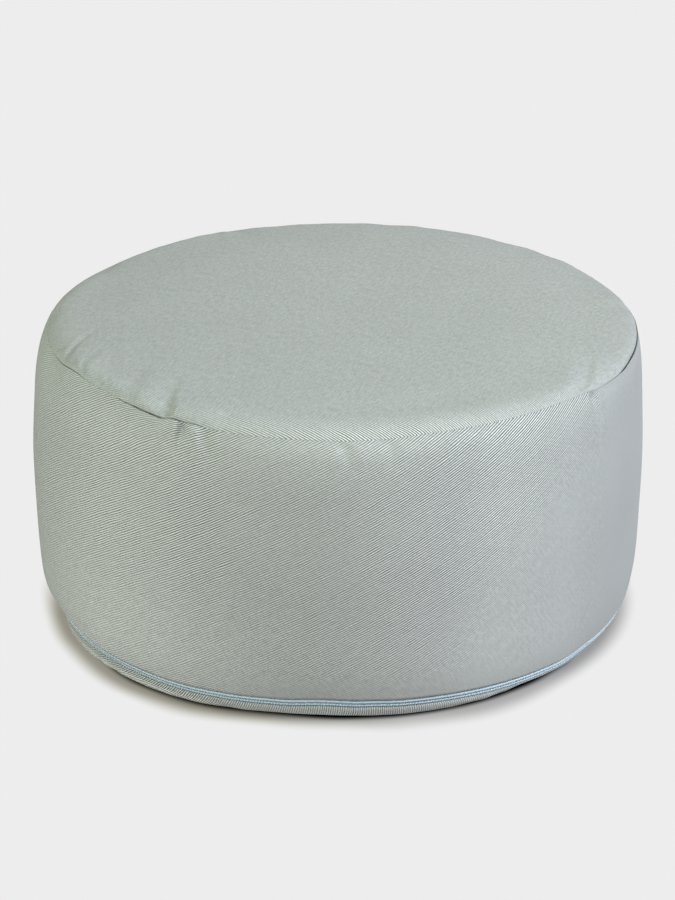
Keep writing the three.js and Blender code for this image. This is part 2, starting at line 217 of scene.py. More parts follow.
def mesh_object(name: str, points: Array, faces: Sequence, edges: Sequence = ()) -> Piece:
    """Makes a smooth mesh object at the origin.

    Args:
        name: Name of the object.
        points: Corners in metres.
        faces: Corner numbers of each face.
        edges: Corner numbers of each loose edge.

    Returns:
        The new object, linked to the scene.
    """
    mesh = bpy.data.meshes.new(name)
    mesh.from_pydata(points.tolist(), list(edges), list(faces))
    mesh.shade_smooth()
    mesh.update()
    return placed(name, mesh)


def enlist(piece: Piece, nodes: Sequence[str] = ()) -> Piece:
    """Makes a piece ride on the cushion and hides the imported nodes that it stands for.

    Args:
        piece: Finished piece.
        nodes: Names of the nodes that the piece replaces.

    Returns:
        The same piece.
    """
    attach(piece, "root")
    for node in nodes:
        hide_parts(node)
    LOG.info("%s: %d corners, %d faces", piece.name, len(piece.data.vertices), len(piece.data.polygons))
    return piece


@dataclass(frozen=True)
class Pucker:
    """A dent that the thread of a seam draws into one panel.

    Attributes:
        panel: Panel that is drawn in.
        angle: Place along the seam in degrees from the front.
        spread: Half width in degrees.
        reach: Length from the seam into the panel.
        depth: Depth near the seam; a negative one is a ridge between two dents.
        slant: Degrees that the dent's far end turns by.
        softness: How much wider the dent's left side is than its right side.
    """

    panel: Panel
    angle: float
    spread: float
    reach: float
    depth: float
    slant: float = 0.0
    softness: float = 1.0

    THREAD_HOLD = 3.5 * MM
    SHOULDER_RISE = 0.22
    SHOULDER_PLACE = 1.8
    SHOULDER_PINCH = 1.6

    def at(self, angle: Array, distance: float) -> Array:
        """Works out the depth at a distance from the seam.

        Args:
            angle: Angles in degrees.
            distance: Distance from the seam along the panel.

        Returns:
            The depth at each angle, with a low shoulder on both sides of the dent.
        """
        share = min(distance / self.reach, 1.0)
        turn = (angle - self.angle - self.slant * share + TURN / 2) % TURN - TURN / 2
        across = turn / np.where(turn < 0.0, self.spread * self.softness, self.spread)
        beside = np.abs(across) - self.SHOULDER_PLACE
        shoulder = self.SHOULDER_RISE * np.exp(-(beside ** 2) * self.SHOULDER_PINCH)
        held = min(distance / self.THREAD_HOLD, 1.0)
        return self.depth * held * (np.exp(-(across ** 2)) - shoulder) * (1.0 - share) ** 2


@dataclass(frozen=True)
class DrumForm:
    """Sizes of the stuffed drum, and the points that they give.

    Angles are degrees from the front, growing towards +X. A ring is a radius and a height at each angle.
    """

    belly_radius: float = 150 * MM
    belly_height: float = 85 * MM
    height: float = 154 * MM
    lean: float = 0.0127
    seam_radius: float = 142.2 * MM
    seam_height: float = 146 * MM
    seam_shift: float = 1.8 * MM
    seam_shift_start: float = 118 * MM
    foot_shift: float = 1.6 * MM
    foot_shift_end: float = 24 * MM
    crown_power: float = 4.0
    foot_radius: float = 126 * MM
    zip_radius: float = 144.4 * MM
    zip_height: float = 11.2 * MM

    # crests in one turn, height of a crest in millimetres and angle of one crest
    WALL_WAVES = ((2, 0.5, 35), (3, 0.5, -20), (7, 0.35, 12))
    # height in millimetres by which the top panel rolls up from its seam, by angle
    ROLL_RISES = {-180: 0.8, -115: 1.0, -65: 3.0, 65: 3.0, 115: 1.0}
    # degrees by which the zip's band leans in under the wall
    ZIP_TILTS = {
        -180: 17, -108: 17, -96: 34, -78: 34, -69: 20, -62: 13, -50: 20, -25: 19, 0: 17, 25: 19, 48: 23,
        60: 24, 74: 22, 92: 18, 108: 17,
    }
    # distance in millimetres by which the band stands further out
    ZIP_REACHES = {
        -180: 0.0, -112: -0.6, -96: -3.1, -78: -3.1, -66: -2.4, -50: -0.7, -35: 0.0, 0: 0.0, 30: 0.4,
        46: 0.2, 57: -1.1, 68: -1.5, 88: -1.3, 108: 0.0,
    }
    # height in millimetres by which the band is lifted
    ZIP_LIFTS = {
        -180: 0.2, -140: -0.2, -100: -0.4, -82: -0.3, -64: 0.0, -54: 0.0, -44: -0.3, -30: -0.8, -22: -0.5,
        -12: 0.1, -3: 1.1, 5: 0.3, 13: -0.4, 35: -0.8, 48: -0.8, 58: -0.2, 70: 0.0, 90: -0.3, 120: 0.0,
        130: 0.0,
    }

    def point(self, angle: Array, ring: Array) -> Array:
        """Places the corners of a ring, with the drum's slight lean.

        Args:
            angle: Angles in degrees.
            ring: Radius and height at each angle.

        Returns:
            One row of x, y and z for each angle.
        """
        turn = np.radians(angle)
        radius, height = ring[..., 0], ring[..., 1]
        shift = self.lean * np.maximum(height - self.belly_height, 0.0)
        shift = shift + self.seam_shift * smoothstep(height, self.seam_shift_start, self.seam_height)
        shift = shift + self.foot_shift * (1.0 - smoothstep(height, 0.0, self.foot_shift_end))
        return np.stack([radius * np.sin(turn) + shift, -radius * np.cos(turn), height], axis=-1)

    def swell(self, angle: Array) -> Array:
        """Returns how far the wall's broad waves stand out."""
        waves = (rise * np.cos(np.radians(crests * (angle - turn))) for crests, rise, turn in self.WALL_WAVES)
        return MM * sum(waves)

    def zip_tilt(self, angle: Array) -> Array:
        """Returns how far the zip's band leans in under the wall, in radians."""
        return np.radians(around(self.ZIP_TILTS, angle))

    def band(self, angle: Array, rise: Number, out: Number) -> Array:
        """Measures a ring on the zip's band.

        Args:
            angle: Angles in degrees.
            rise: Distance up along the band from its middle.
            out: Distance off the band.

        Returns:
            The radius and the height at each angle.
        """
        sin, cos = np.sin(self.zip_tilt(angle)), np.cos(self.zip_tilt(angle))
        radius = self.zip_radius + MM * around(self.ZIP_REACHES, angle) + rise * sin + out * cos
        height = self.zip_height + MM * around(self.ZIP_LIFTS, angle) + rise * cos - out * sin
        return np.stack([radius, height], axis=-1)

    def band_point(self, angle: Array, rise: float, out: float) -> Array:
        """Returns points on the zip's band, one row for each angle."""
        return self.point(angle, self.band(angle, rise, out))

    def band_off(self, angle: Array) -> Array:
        """Returns the direction straight off the zip's band, one row for each angle."""
        return self.outward(angle, -self.zip_tilt(angle))

    def outward(self, angle: Array, rise: Number) -> Array:
        """Returns directions away from the drum's middle that climb by an angle in radians."""
        turn, level = np.radians(angle), np.cos(rise)
        return np.stack([level * np.sin(turn), -level * np.cos(turn), np.sin(rise) + 0.0 * turn], axis=-1)

    def crown_height(self, angle: Array, radius: float) -> Array:
        """Returns the height of the top panel at a radius, inside its rolled edge."""
        fall = self.height - self.seam_height - MM * around(self.ROLL_RISES, angle)
        return self.height - fall * (radius / self.seam_radius) ** self.crown_power

    def crown_slope(self, angle: Array, radius: float) -> Array:
        """Returns how fast the top panel falls outwards at a radius."""
        return self.crown_power * (self.height - self.crown_height(angle, radius)) / radius


@dataclass(frozen=True)
class Grain:
    """A noise pattern.

    Attributes:
        scale: Number of its patches to a metre.
        detail: Number of finer layers.
        low: Value that its darkest patches are brought to.
        high: Value that its lightest patches are brought to.
    """

    scale: float
    detail: float
    low: float = 0.0
    high: float = 1.0


class Shades:
    """A material's node tree, with short ways to add nodes and link them."""

    def __init__(self, name: str) -> None:
        """Starts an empty tree for a new material.

        Args:
            name: Name of the material.
        """
        self.material = bpy.data.materials.new(name)
        self.material.use_nodes = True
        self.tree = self.material.node_tree
        self.tree.nodes.clear()

    def add(self, kind: str, inputs: Inputs, output: Key = 0, **settings: object) -> Socket:
        """Adds a node and returns one of its outputs."""
        return add_node(self.tree, kind, inputs, **settings).outputs[output]

    def attribute(self, name: str, output: str) -> Socket:
        """Returns a value or a colour that the mesh carries."""
        return self.add("ShaderNodeAttribute", {}, output, attribute_name=name)

    def cloth(self) -> Socket:
        """Returns the place on the cloth's own map."""
        return self.add("ShaderNodeUVMap", {}, uv_map=FABRIC_MAP)

    def mapped(self, vector: Socket, kind: str = "POINT", **changes: Triple) -> Socket:
        """Returns a vector that a Mapping node changes by its Rotation or Scale."""
        return self.add("ShaderNodeMapping", {"Vector": vector, **changes}, vector_type=kind)

    def split(self, vector: Socket) -> tuple[Socket, Socket]:
        """Returns the first two coordinates of a vector."""
        outputs = add_node(self.tree, "ShaderNodeSeparateXYZ", {0: vector}).outputs
        return outputs[0], outputs[1]

    def math(self, operation: str, *values: object) -> Socket:
        """Returns the result of a Math node on some values or sockets."""
        return self.add("ShaderNodeMath", dict(enumerate(values)), operation=operation)

    def times(self, first: object, second: object, added: object = 0.0) -> Socket:
        """Returns a product with something added to it."""
        return self.math("MULTIPLY_ADD", first, second, added)

    def spread(self, value: Socket, low: float, high: float) -> Socket:
        """Returns a value from 0 to 1 brought to the range from low to high."""
        return self.times(value, high - low, low)

    def wave(self, count: Socket) -> Socket:
        """Returns an even wave from -1 to 1 that crests at each whole number."""
        return self.math("COSINE", self.times(count, math.tau))

    def ribs(self, count: Socket) -> Socket:
        """Returns an even wave from 0 to 1 that crests at each whole number."""
        return self.spread(self.wave(count), 0.5, 1.0)

    def noise(self, vector: Socket, grain: Grain) -> Socket:
        """Returns a noise pattern on a vector, brought to its range."""
        raw = self.add("ShaderNodeTexNoise", {"Vector": vector, "Scale": grain.scale, "Detail": grain.detail})
        return raw if (grain.low, grain.high) == (0.0, 1.0) else self.spread(raw, grain.low, grain.high)

    def blend(self, factor: Socket, first: Colour, second: Colour) -> Socket:
        """Returns a colour between two, by a factor."""
        inputs = {0: factor, 6: (*first, 1.0), 7: (*second, 1.0)}
        return self.add("ShaderNodeMix", inputs, 2, data_type="RGBA")

    def brighten(self, colour: Socket, factor: Socket) -> Socket:
        """Returns a colour multiplied by a factor."""
        return self.add("ShaderNodeVectorMath", {0: colour, "Scale": factor}, operation="SCALE")

    def bump(self, height: Socket, distance: float, strength: float) -> Socket:
        """Returns a normal that a height pattern bends."""
        return self.add("ShaderNodeBump", {"Height": height, "Distance": distance, "Strength": strength})

    def surface(self, shader: Socket) -> Material:
        """Sets the material's surface and returns the material."""
        add_node(self.tree, "ShaderNodeOutputMaterial", {"Surface": shader})
        return self.material

    def principled(self, inputs: Inputs) -> Material:
        """Finishes the material with one shader and returns the material."""
        return self.surface(self.add("ShaderNodeBsdfPrincipled", inputs))


@dataclass(frozen=True)
class TwillFinish:
    """Fine cotton twill: slanted lines of yarn and slubs along them, its colour scaled by the painted light
    and shade that the mesh carries.
    """

    light: Colour = (0.444, 0.472, 0.444)
    # colour between the lines: partly the weft's own colour, partly painted shade of the hollows between the
    # lines
    dark: Colour = (0.062, 0.068, 0.061)
    pitch: float = 1.06 * MM
    slant: float = math.radians(29)
    float_length: float = 2.6 * MM
    float_step: float = 0.37
    float_dark: float = 0.88
    mean_weave: float = 0.48
    weft: float = math.radians(-95)
    weft_stretch: float = 2.9
    weft_least: float = 0.3
    grain_rise: float = 3.0
    jog_squeeze: float = 0.3
    slub_squeeze: float = 0.16
    slub_shade: float = 0.12
    slub_relief: float = 0.35
    relief: float = 0.18 * MM
    strength: float = 0.3
    roughness: float = 0.8
    gloss: float = 0.2
    wander: Grain = Grain(55, 2, -0.35, 0.35)
    jog: Grain = Grain(330, 1, -0.32, 0.32)
    wear: Grain = Grain(210, 2, 0.2, 1.8)
    slub: Grain = Grain(700, 3)
    weft_yarn: Grain = Grain(750, 2, -0.42, 0.42)
    fleck: Grain = Grain(1100, 2, -0.17, 0.17)
    mottle: Grain = Grain(26, 3, 0.95, 1.05)

    def material(self) -> Material:
        """Builds the twill, drawn along the cloth's own map.

        Returns:
            The material.
        """
        shades = Shades("sage_twill")
        cloth = shades.cloth()
        clear = shades.attribute(WEAVE, "Fac")
        turned = shades.mapped(cloth, Rotation=(0.0, 0.0, -self.slant))
        jogged = shades.mapped(turned, Scale=(self.jog_squeeze, 1.0, 1.0))
        drawn = shades.mapped(turned, Scale=(self.slub_squeeze, 1.0, 1.0))
        weft_scale = (self.weft_stretch, 1.0, 1.0)
        crossing = shades.mapped(turned, "TEXTURE", Rotation=(0.0, 0.0, -self.weft), Scale=weft_scale)
        along, across = shades.split(turned)
        drift = shades.math("ADD", shades.noise(turned, self.wander), shades.noise(jogged, self.jog))
        lines = shades.times(across, 1.0 / self.pitch, drift)
        row = shades.math("FLOOR", shades.math("ADD", lines, 0.5))
        yarns = shades.times(along, 1.0 / self.float_length, shades.times(row, self.float_step))
        yarn = shades.spread(shades.ribs(yarns), self.float_dark, 1.0)
        worn = shades.times(clear, shades.noise(turned, self.wear))
        woven = shades.math("SUBTRACT", shades.times(shades.ribs(lines), yarn), self.mean_weave)
        weave = shades.times(woven, worn, self.mean_weave)
        slub = shades.noise(drawn, self.slub)
        slubs = shades.spread(slub, -self.slub_shade, self.slub_shade)
        specks = shades.math("ADD", slubs, shades.noise(cloth, self.fleck))
        plain = shades.math("MAXIMUM", shades.math("SUBTRACT", 1.0, clear), self.weft_least)
        specks = shades.times(shades.noise(crossing, self.weft_yarn), plain, specks)
        grain = shades.math("MINIMUM", shades.times(clear, self.grain_rise), 1.0)
        tone = shades.times(shades.times(specks, grain, 1.0), shades.noise(cloth, self.mottle))
        # painted light and shade carried by the mesh scale the cloth's colour
        tone = shades.times(tone, shades.attribute(PAINTED_LIGHT, "Fac"))
        return shades.principled({
            "Base Color": shades.brighten(shades.blend(weave, self.dark, self.light), tone),
            "Roughness": self.roughness,
            "Specular IOR Level": self.gloss,
            "Normal": shades.bump(shades.times(slub, self.slub_relief, weave), self.relief, self.strength),
        })


@dataclass(frozen=True)
class TapeFinish:
    """Woven polyester zip tape with fine cords along it."""

    light: Colour = (0.330, 0.430, 0.460)
    dark: Colour = (0.190, 0.270, 0.300)
    cord: float = 0.55 * MM
    fleck: Grain = Grain(1500, 2, 0.8, 1.2)
    roughness: float = 0.8
    gloss: float = 0.3
    relief: float = 0.1 * MM
    strength: float = 0.5

    def material(self) -> Material:
        """Builds the tape, drawn along its own map.

        Returns:
            The material.
        """
        shades = Shades("zip_tape")
        cloth = shades.cloth()
        picks, cords = (shades.wave(shades.times(way, 1.0 / self.cord)) for way in shades.split(cloth))
        weave = shades.spread(shades.times(cords, picks), 0.5, 1.0)
        colour = shades.blend(weave, self.dark, self.light)
        return shades.principled({
            "Base Color": shades.brighten(colour, shades.noise(cloth, self.fleck)),
            "Roughness": self.roughness,
            "Specular IOR Level": self.gloss,
            "Normal": shades.bump(weave, self.relief, self.strength),
        })


@dataclass(frozen=True)
class CloudedFinish:
    """A clouded colour with a fine grain, drawn on the piece's own coordinates.

    Attributes:
        name: Name of the material.
        light: The lighter of its two colours.
        dark: The darker one.
        cloud: Pattern that blends the two.
        grain: Pattern of the surface.
        rough: Roughness in the grain's hollows and on its tops, the same where it is even.
        relief: Height of the grain.
        strength: How strongly the grain bends the light.
        sheen: The shader's input for its kind of shine, and the value there.
    """

    name: str
    light: Colour
    dark: Colour
    cloud: Grain
    grain: Grain
    rough: Pair
    relief: float
    strength: float
    sheen: tuple[str, float]

    def material(self) -> Material:
        """Builds the finish.

        Returns:
            The material.
        """
        shades = Shades(self.name)
        place = shades.add("ShaderNodeTexCoord", {}, "Object")
        grain = shades.noise(place, self.grain)
        low, high = self.rough
        return shades.principled({
            "Base Color": shades.blend(shades.noise(place, self.cloud), self.dark, self.light),
            "Roughness": low if low == high else shades.spread(grain, low, high),
            "Normal": shades.bump(grain, self.relief, self.strength),
            self.sheen[0]: self.sheen[1],
        })


@dataclass(frozen=True)
class CoilFinish(CloudedFinish):
    """Pale blue filament of the zip's teeth, smooth and faintly clouded."""

    name: str = "zip_coil"
    light: Colour = (0.355, 0.445, 0.463)
    dark: Colour = (0.300, 0.385, 0.403)
    cloud: Grain = Grain(420, 3)
    grain: Grain = Grain(2400, 2)
    rough: Pair = (0.36, 0.54)
    relief: float = 0.03 * MM
    strength: float = 0.3
    sheen: tuple[str, float] = ("Specular IOR Level", 0.35)


@dataclass(frozen=True)
class ThreadFinish(CloudedFinish):
    """Twisted sewing thread in the cloth's colour."""

    name: str = "sewing_thread"
    light: Colour = (0.290, 0.312, 0.290)
    dark: Colour = (0.160, 0.176, 0.160)
    cloud: Grain = Grain(1900, 2)
    grain: Grain = Grain(1900, 2)
    rough: Pair = (0.7, 0.7)
    relief: float = 0.06 * MM
    strength: float = 0.6
    sheen: tuple[str, float] = ("Sheen Weight", 0.15)


@dataclass(frozen=True)
class EnamelFinish(CloudedFinish):
    """Blue enamel on the die-cast slider, a little rubbed."""

    name: str = "slider_enamel"
    light: Colour = (0.270, 0.385, 0.440)
    dark: Colour = (0.190, 0.285, 0.335)
    cloud: Grain = Grain(300, 3)
    grain: Grain = Grain(3200, 2)
    rough: Pair = (0.24, 0.42)
    relief: float = 0.02 * MM
    strength: float = 0.25
    sheen: tuple[str, float] = ("Coat Weight", 0.25)


@dataclass(frozen=True)
class FloorFinish:
    """Pale studio floor that glows evenly, with the cushion's shadow painted into the glow by its own colour
    attribute.
    """

    def material(self) -> Material:
        """Builds the floor and returns it."""
        shades = Shades("studio_floor")
        return shades.surface(shades.add("ShaderNodeEmission", {"Color": shades.attribute(FLOOR_GLOW_AND_PAINTED_SHADOW, "Color")}))


@dataclass(frozen=True)
class LoopRow:
    """A row of equal wire loops along a path round the drum, made by Geometry Nodes.

    Each loop lies in its own frame on the path: X on along it, Y up across it and Z off the cloth.

    Attributes:
        name: Name of the finished piece.
        pitch: Distance between two loops.
        wire: Radius of the wire.
        start: Where a loop leaves the path's frame.
        middle: Corner that pulls the loop into an arch.
        end: Where a loop comes back.
    """

    name: str
    pitch: float
    wire: float
    start: Triple
    middle: Triple
    end: Triple

    SIDES = 6
    STEPS = 5
    KINDS = {
        "Path": "Geometry", "Pitch": "Float", "Wire": "Float", "Start": "Vector", "Middle": "Vector",
        "End": "Vector", "Finish": "Material",
    }

    def tree(self) -> tuple[bpy.types.NodeTree, dict[str, str]]:
        """Builds the node tree.

        Returns:
            The tree, and the identifier of each named input.
        """
        tree = bpy.data.node_groups.new(f"{self.name}_row", "GeometryNodeTree")
        sockets = tree.interface
        names = {
            label: sockets.new_socket(label, in_out="INPUT", socket_type=f"NodeSocket{kind}").identifier
            for label, kind in self.KINDS.items()
        }
        sockets.new_socket("Row", in_out="OUTPUT", socket_type="NodeSocketGeometry")
        given = tree.nodes.new("NodeGroupInput").outputs

        def add(kind: str, inputs: Inputs, output: Key = 0, **settings: object) -> Socket:
            """Adds a node and returns one of its outputs."""
            return add_node(tree, kind, inputs, **settings).outputs[output]

        path = add("GeometryNodeMeshToCurve", {"Mesh": given["Path"]})
        row = add("GeometryNodeResampleCurve", {"Curve": path, "Length": given["Pitch"]}, mode="LENGTH")
        ends = {label: given[label] for label in ("Start", "Middle", "End")}
        arch = add("GeometryNodeCurveQuadraticBezier", {"Resolution": self.STEPS, **ends})
        ring = add("GeometryNodeCurvePrimitiveCircle", {"Resolution": self.SIDES, "Radius": given["Wire"]})
        loop = add("GeometryNodeCurveToMesh", {"Curve": arch, "Profile Curve": ring, "Fill Caps": True})
        off = add("GeometryNodeInputNamedAttribute", {"Name": OFF}, "Attribute", data_type="FLOAT_VECTOR")
        tangent = add("GeometryNodeInputTangent", {})
        turned = add("FunctionNodeAlignRotationToVector", {"Vector": tangent}, axis="X")
        leaning = {"Rotation": turned, "Vector": off}
        upright = add("FunctionNodeAlignRotationToVector", leaning, axis="Z", pivot_axis="X")
        loops = add("GeometryNodeInstanceOnPoints", {"Points": row, "Instance": loop, "Rotation": upright})
        real = add("GeometryNodeRealizeInstances", {0: loops})
        smooth = add("GeometryNodeSetShadeSmooth", {0: real})
        finished = add("GeometryNodeSetMaterial", {"Geometry": smooth, "Material": given["Finish"]})
        tree.links.new(finished, tree.nodes.new("NodeGroupOutput").inputs[0])
        return tree, names

    def build(self, path: Array, off: Array, finish: Material) -> Piece:
        """Lays the row along a path.

        Args:
            path: Points of the path in metres, one row each.
            off: Direction off the cloth at each point.
            finish: Material of the loops.

        Returns:
            The row as a plain mesh.
        """
        steps = [(step, step + 1) for step in range(len(path) - 1)]
        guide = mesh_object(f"{self.name}_guide", path, [], steps)
        away = guide.data.attributes.new(OFF, "FLOAT_VECTOR", "POINT")
        away.data.foreach_set("vector", off.astype(np.float32).ravel())
        tree, names = self.tree()
        row = guide.modifiers.new("row", "NODES")
        row.node_group = tree
        values = {
            "Pitch": self.pitch, "Wire": self.wire, "Start": self.start, "Middle": self.middle,
            "End": self.end, "Finish": finish,
        }
        for label, value in values.items():
            row[names[label]] = value
        evaluated = guide.evaluated_get(bpy.context.evaluated_depsgraph_get())
        mesh = bpy.data.meshes.new_from_object(evaluated)
        mesh.name = self.name
        bpy.data.objects.remove(guide)
        return placed(self.name, mesh)


@dataclass
class CushionCover:
    """The stuffed cover: top panel, side wall and bottom panel, sewn at the top seam and at the zip."""

    form: DrumForm
    front: Pair = (-84.0, 74.0)
    front_step: float = 0.4
    back_step: float = 1.0
    foot_rings: int = 3
    roll_rings: int = 10
    lower_rings: int = 10
    wall_rings: int = 16
    shoulder_rings: int = 28
    crown_rings: int = 26
    dented_rings: int = 4
    seam_crowd: float = 1.6
    crown_crowd: float = 1.25
    fill: float = 0.85
    channel_end: float = 124.5
    channel_taper: float = 3.0
    tuck_start: float = 2.9
    tuck_span: float = 1.9
    foot_handle: float = 2.5 * MM
    lip_handle: float = 9 * MM
    wall_handle: float = 14 * MM
    wall_slope: float = 0.04
    upright_handle: float = 12 * MM
    shoulder_handle: float = 8 * MM
    shoulder_give: float = 2.5 * MM
    roll_handle: float = 7 * MM
    roll_give: float = 1.5 * MM
    roll_lift: float = 45.0
    crown_edge: float = 116 * MM
    crown_handle: float = 14 * MM
    swell_start: float = 16 * MM
    bend_height: float = 31 * MM
    bend_span: float = 13 * MM
    slit_width: float = 0.75 * MM
    slit_depth: float = 3.4 * MM
    slit_play: float = 0.05 * MM
    slit_dip: float = math.radians(50)
    thread_depth: float = 0.35 * MM
    fade_span: float = 50 * MM
    # painted shade that darkens the bottom panel's lip beside the zip
    painted_lip_shade: float = 0.14
    gather_seed: int = 11
    gather_count: int = 64

    # place across the top seam and share of its depth, for each ring in the slit
    SLIT_RINGS = ((-1.0, 0.2), (0.0, 1.0), (1.0, 0.2))
    # distances under the lower hem between which the cloth's look changes
    INSIDE_SPAN = (20 * MM, 30 * MM)
    LIP_SPAN = (-1.5 * MM, 2 * MM)
    ROLL_SPAN = (-2 * MM, 5 * MM)
    # the same past the top seam, twice below it, and above the upper hem
    CROWN_SPAN = (6 * MM, 20 * MM)
    RIM_SPAN = (3 * MM, 12 * MM)
    LOW_SPAN = (30 * MM, 130 * MM)
    HEM_SPAN = (7 * MM, 16 * MM)
    # radius and height of the side wall in millimetres, from its lower bend to the shoulder
    WALL_CORNERS = ((149.0, 52.0), (150.0, 85.0), (148.6, 118.0))
    # rise and out in millimetres of the cloth's edges beside the zip, from their panels into the channel
    HEMS = {
        ZipSide.UPPER: ((4.4, 0.0), (3.5, 0.1), (2.7, 0.05), (2.15, -0.3), (2.2, -0.8), (3.9, -2.2)),
        ZipSide.LOWER: ((-4.8, 0.0), (-4.2, 0.0), (-3.6, -0.1), (-3.05, -0.4), (-2.85, -0.9), (-3.4, -2.2)),
    }
    # the same for the upper edge where both meet in the plain seam at the back; the lower one mirrors it
    CLOSED_HEM = ((1.6, -0.05), (1.2, -0.1), (0.8, -0.3), (0.5, -0.7), (0.35, -1.1), (0.2, -1.6))
    # how far the thread lets the top seam gape, by angle
    SEAM_OPEN = {
        -178: 0.3, -160: 0.1, -140: 0.4, -118: 0.05, -100: 0.0, -77: 0.0, -73: 0.25, -68: 0.5, -62: 0.3,
        -58: 0.0, -49: 0.0, -47: 0.4, -42: 0.9, -37.5: 1.0, -35.2: 0.3, -33: 0.75, -30: 0.45, -26: 0.12,
        -22: 0.02, 30: 0.02, 48: 0.03, 57: 0.1, 66: 0.2, 69: 0.8, 76: 1.15, 98: 1.2, 108: 0.5, 118: 0.2,
        138: 0.5, 158: 0.2,
    }
    # height in millimetres by which the top seam wanders
    SEAM_LIFT = {
        -180: -1.3, -167: -1.0, -158: -0.3, -150: -0.3, -140: -1.0, -128: -1.1, -112: -0.5, -96: 0.0,
        -84: -0.4, -73: -1.6, -62: 1.6, -52: 1.5, -44: 0.4, -41: -0.3, -36.5: -1.0, -34: 0.2, -30: 0.0,
        -22: -1.0, -10: -0.8, 0: -1.0, 8: -0.5, 16: 0.6, 26: 0.8, 45: 0.4, 53: -0.5, 59: -2.2, 68: -2.3,
        76: -1.4, 85: -0.8, 100: -0.5, 117: -1.1, 130: -1.0, 142: -2.2, 152: -1.1, 168: -0.8,
    }
    # distance in millimetres by which the top seam stands further out
    SEAM_REACH = {
        -180: 0.0, -125: 0.4, -105: 1.3, -85: 1.5, -70: 0.0, 48: 0.0, 58: 0.6, 68: 1.6, 78: 1.6, 92: 0.8,
        104: -0.6, 118: -0.6, 140: 0.0,
    }
    # degrees off upright at which the wall leaves the top seam
    WALL_LEANS = {
        -180: 36, -120: 34, -80: 36, -70: 26, -50: 26, -45: 40, -38: 52, -34: 44, -26: 28, 45: 26, 60: 18,
        72: 10, 100: 12, 125: 32,
    }
    # degrees at which the top panel climbs from a closed seam
    ROLL_TURNS = {-180: 24, -125: 27, -105: 42, -82: 46, -68: 54, 65: 52, 115: 27}
    # distance in millimetres by which the wall's lower bend stands further out
    BEND_REACHES = {
        -180: 0.0, -115: 0.0, -90: -0.6, -72: -0.2, -50: -0.3, -30: 0.0, 45: 0.0, 68: 0.2, 95: 0.2, 125: 0.0,
    }
    # radius in millimetres of the corner that the roll under the zip bends round
    FOOT_CORNERS = {
        -180: 138, -110: 142, -75: 145, -40: 145.3, -29: 143.4, -22: 139.5, -12: 135.8, 0: 137.5, 10: 138.2,
        20: 137.5, 29: 131, 36: 128, 45: 127.5, 75: 128, 120: 138,
    }
    # distance in millimetres by which the edge under the zip is tucked in
    TUCKS = {-180: 0.0, 29: 0.0, 33: 0.6, 38: 1.5, 60: 1.7, 75: 1.0, 110: 0.0}
    # how clearly the twill's lines show on the wall
    WALL_LINES = {
        -180: 0.55, -92: 0.3, -76: 0.42, -66: 0.62, -48: 0.78, -38: 0.75, -27: 0.95, -14: 0.62, 0: 0.66,
        12: 0.9, 18: 1.02, 22: 1.08, 30: 1.4, 37: 1.68, 46: 0.86, 53: 1.1, 61: 0.12, 80: 0.08, 110: 0.35,
    }
    # how clearly they show on the rim of the top panel
    RIM_LINES = {
        -180: 0.27, -70: 0.27, -28: 0.4, -18: 0.7, -8: 0.84, 0: 1.0, 12: 1.0, 22: 0.78, 40: 0.58, 60: 0.3,
        100: 0.2,
    }
    # distance in millimetres below the top seam at which the wall's lines fade
    FADES = {
        -180: 85, -5: 85, 10: 108, 16: 108, 22: 92, 30: 72, 36: 52, 45: 30, 53: 18, 65: 18, 110: 60, 140: 85,
    }
    # share of the lines' clearness that is left at the wall's foot
    LOWER_LINES = {
        -180: 0.5, -58: 0.42, -42: 0.62, -32: 0.56, -20: 0.6, -14: 0.8, -5: 1.0, 8: 0.72, 18: 0.38, 30: 0.15,
        60: 0.15, 120: 0.5,
    }
    # share that is left right above the zip
    HEM_LINES = {-180: 0.6, -38: 1.0, -26: 0.85, -18: 0.6, -10: 0.32, 25: 0.4, 45: 0.5, 110: 0.6}
    # how clearly the lines show under the zip
    FOOT_LINES = {
        -180: 0.4, -70: 0.5, -54: 0.62, -42: 1.1, -28: 1.1, -22: 1.0, -15: 0.6, 0: 0.8, 12: 0.75, 22: 0.5,
        40: 0.35, 110: 0.4,
    }
    # how much painted light lightens the roll that the cushion stands on
    PAINTED_FOOT_LIGHT = {-70: 0.2, -50: 0.44, -35: 0.5, -20: 0.52, -8: 0.6, 0: 0.6, 16: 0.46, 32: 0.2}
    # how much painted light and shade lighten or darken the wall in broad upright bands, and the factor by
    # which that changes towards the wall's foot
    PAINTED_WALL_LIGHT = {
        -90: 1.0, -70: 1.035, -48: 1.095, -33: 1.055, -23: 1.03, -14: 1.0, -3: 0.99, 10: 1.01, 18: 1.01,
        31: 1.085, 45: 1.06, 55: 1.0, 70: 0.97, 110: 1.0,
    }
    PAINTED_LOWER_WALL_LIGHT = {
        -90: 1.0, -58: 1.11, -38: 1.08, -22: 1.0, -5: 0.965, 10: 0.985, 30: 0.97, 50: 0.945, 75: 0.99,
        110: 1.0,
    }
    # how much a painted highlight lightens the rim of the top panel
    PAINTED_RIM_HIGHLIGHT = {
        -180: 1.06, -115: 1.04, -80: 0.99, -64: 1.03, -30: 1.02, -14: 1.08, 12: 1.16, 30: 1.12, 45: 1.07,
        70: 1.03, 120: 1.04,
    }
    CROWN_LINES = 0.34
    # painted light on the crown, and how much lighter it is painted towards +X and darker towards -X
    PAINTED_CROWN_LIGHT = 1.035
    PAINTED_CROWN_SIDE_LIGHT = 0.06
    BOTTOM_LINES = 0.36
    # base of the painted light on the bottom panel, where it neither lightens nor darkens
    PAINTED_BOTTOM_LIGHT = 1.0
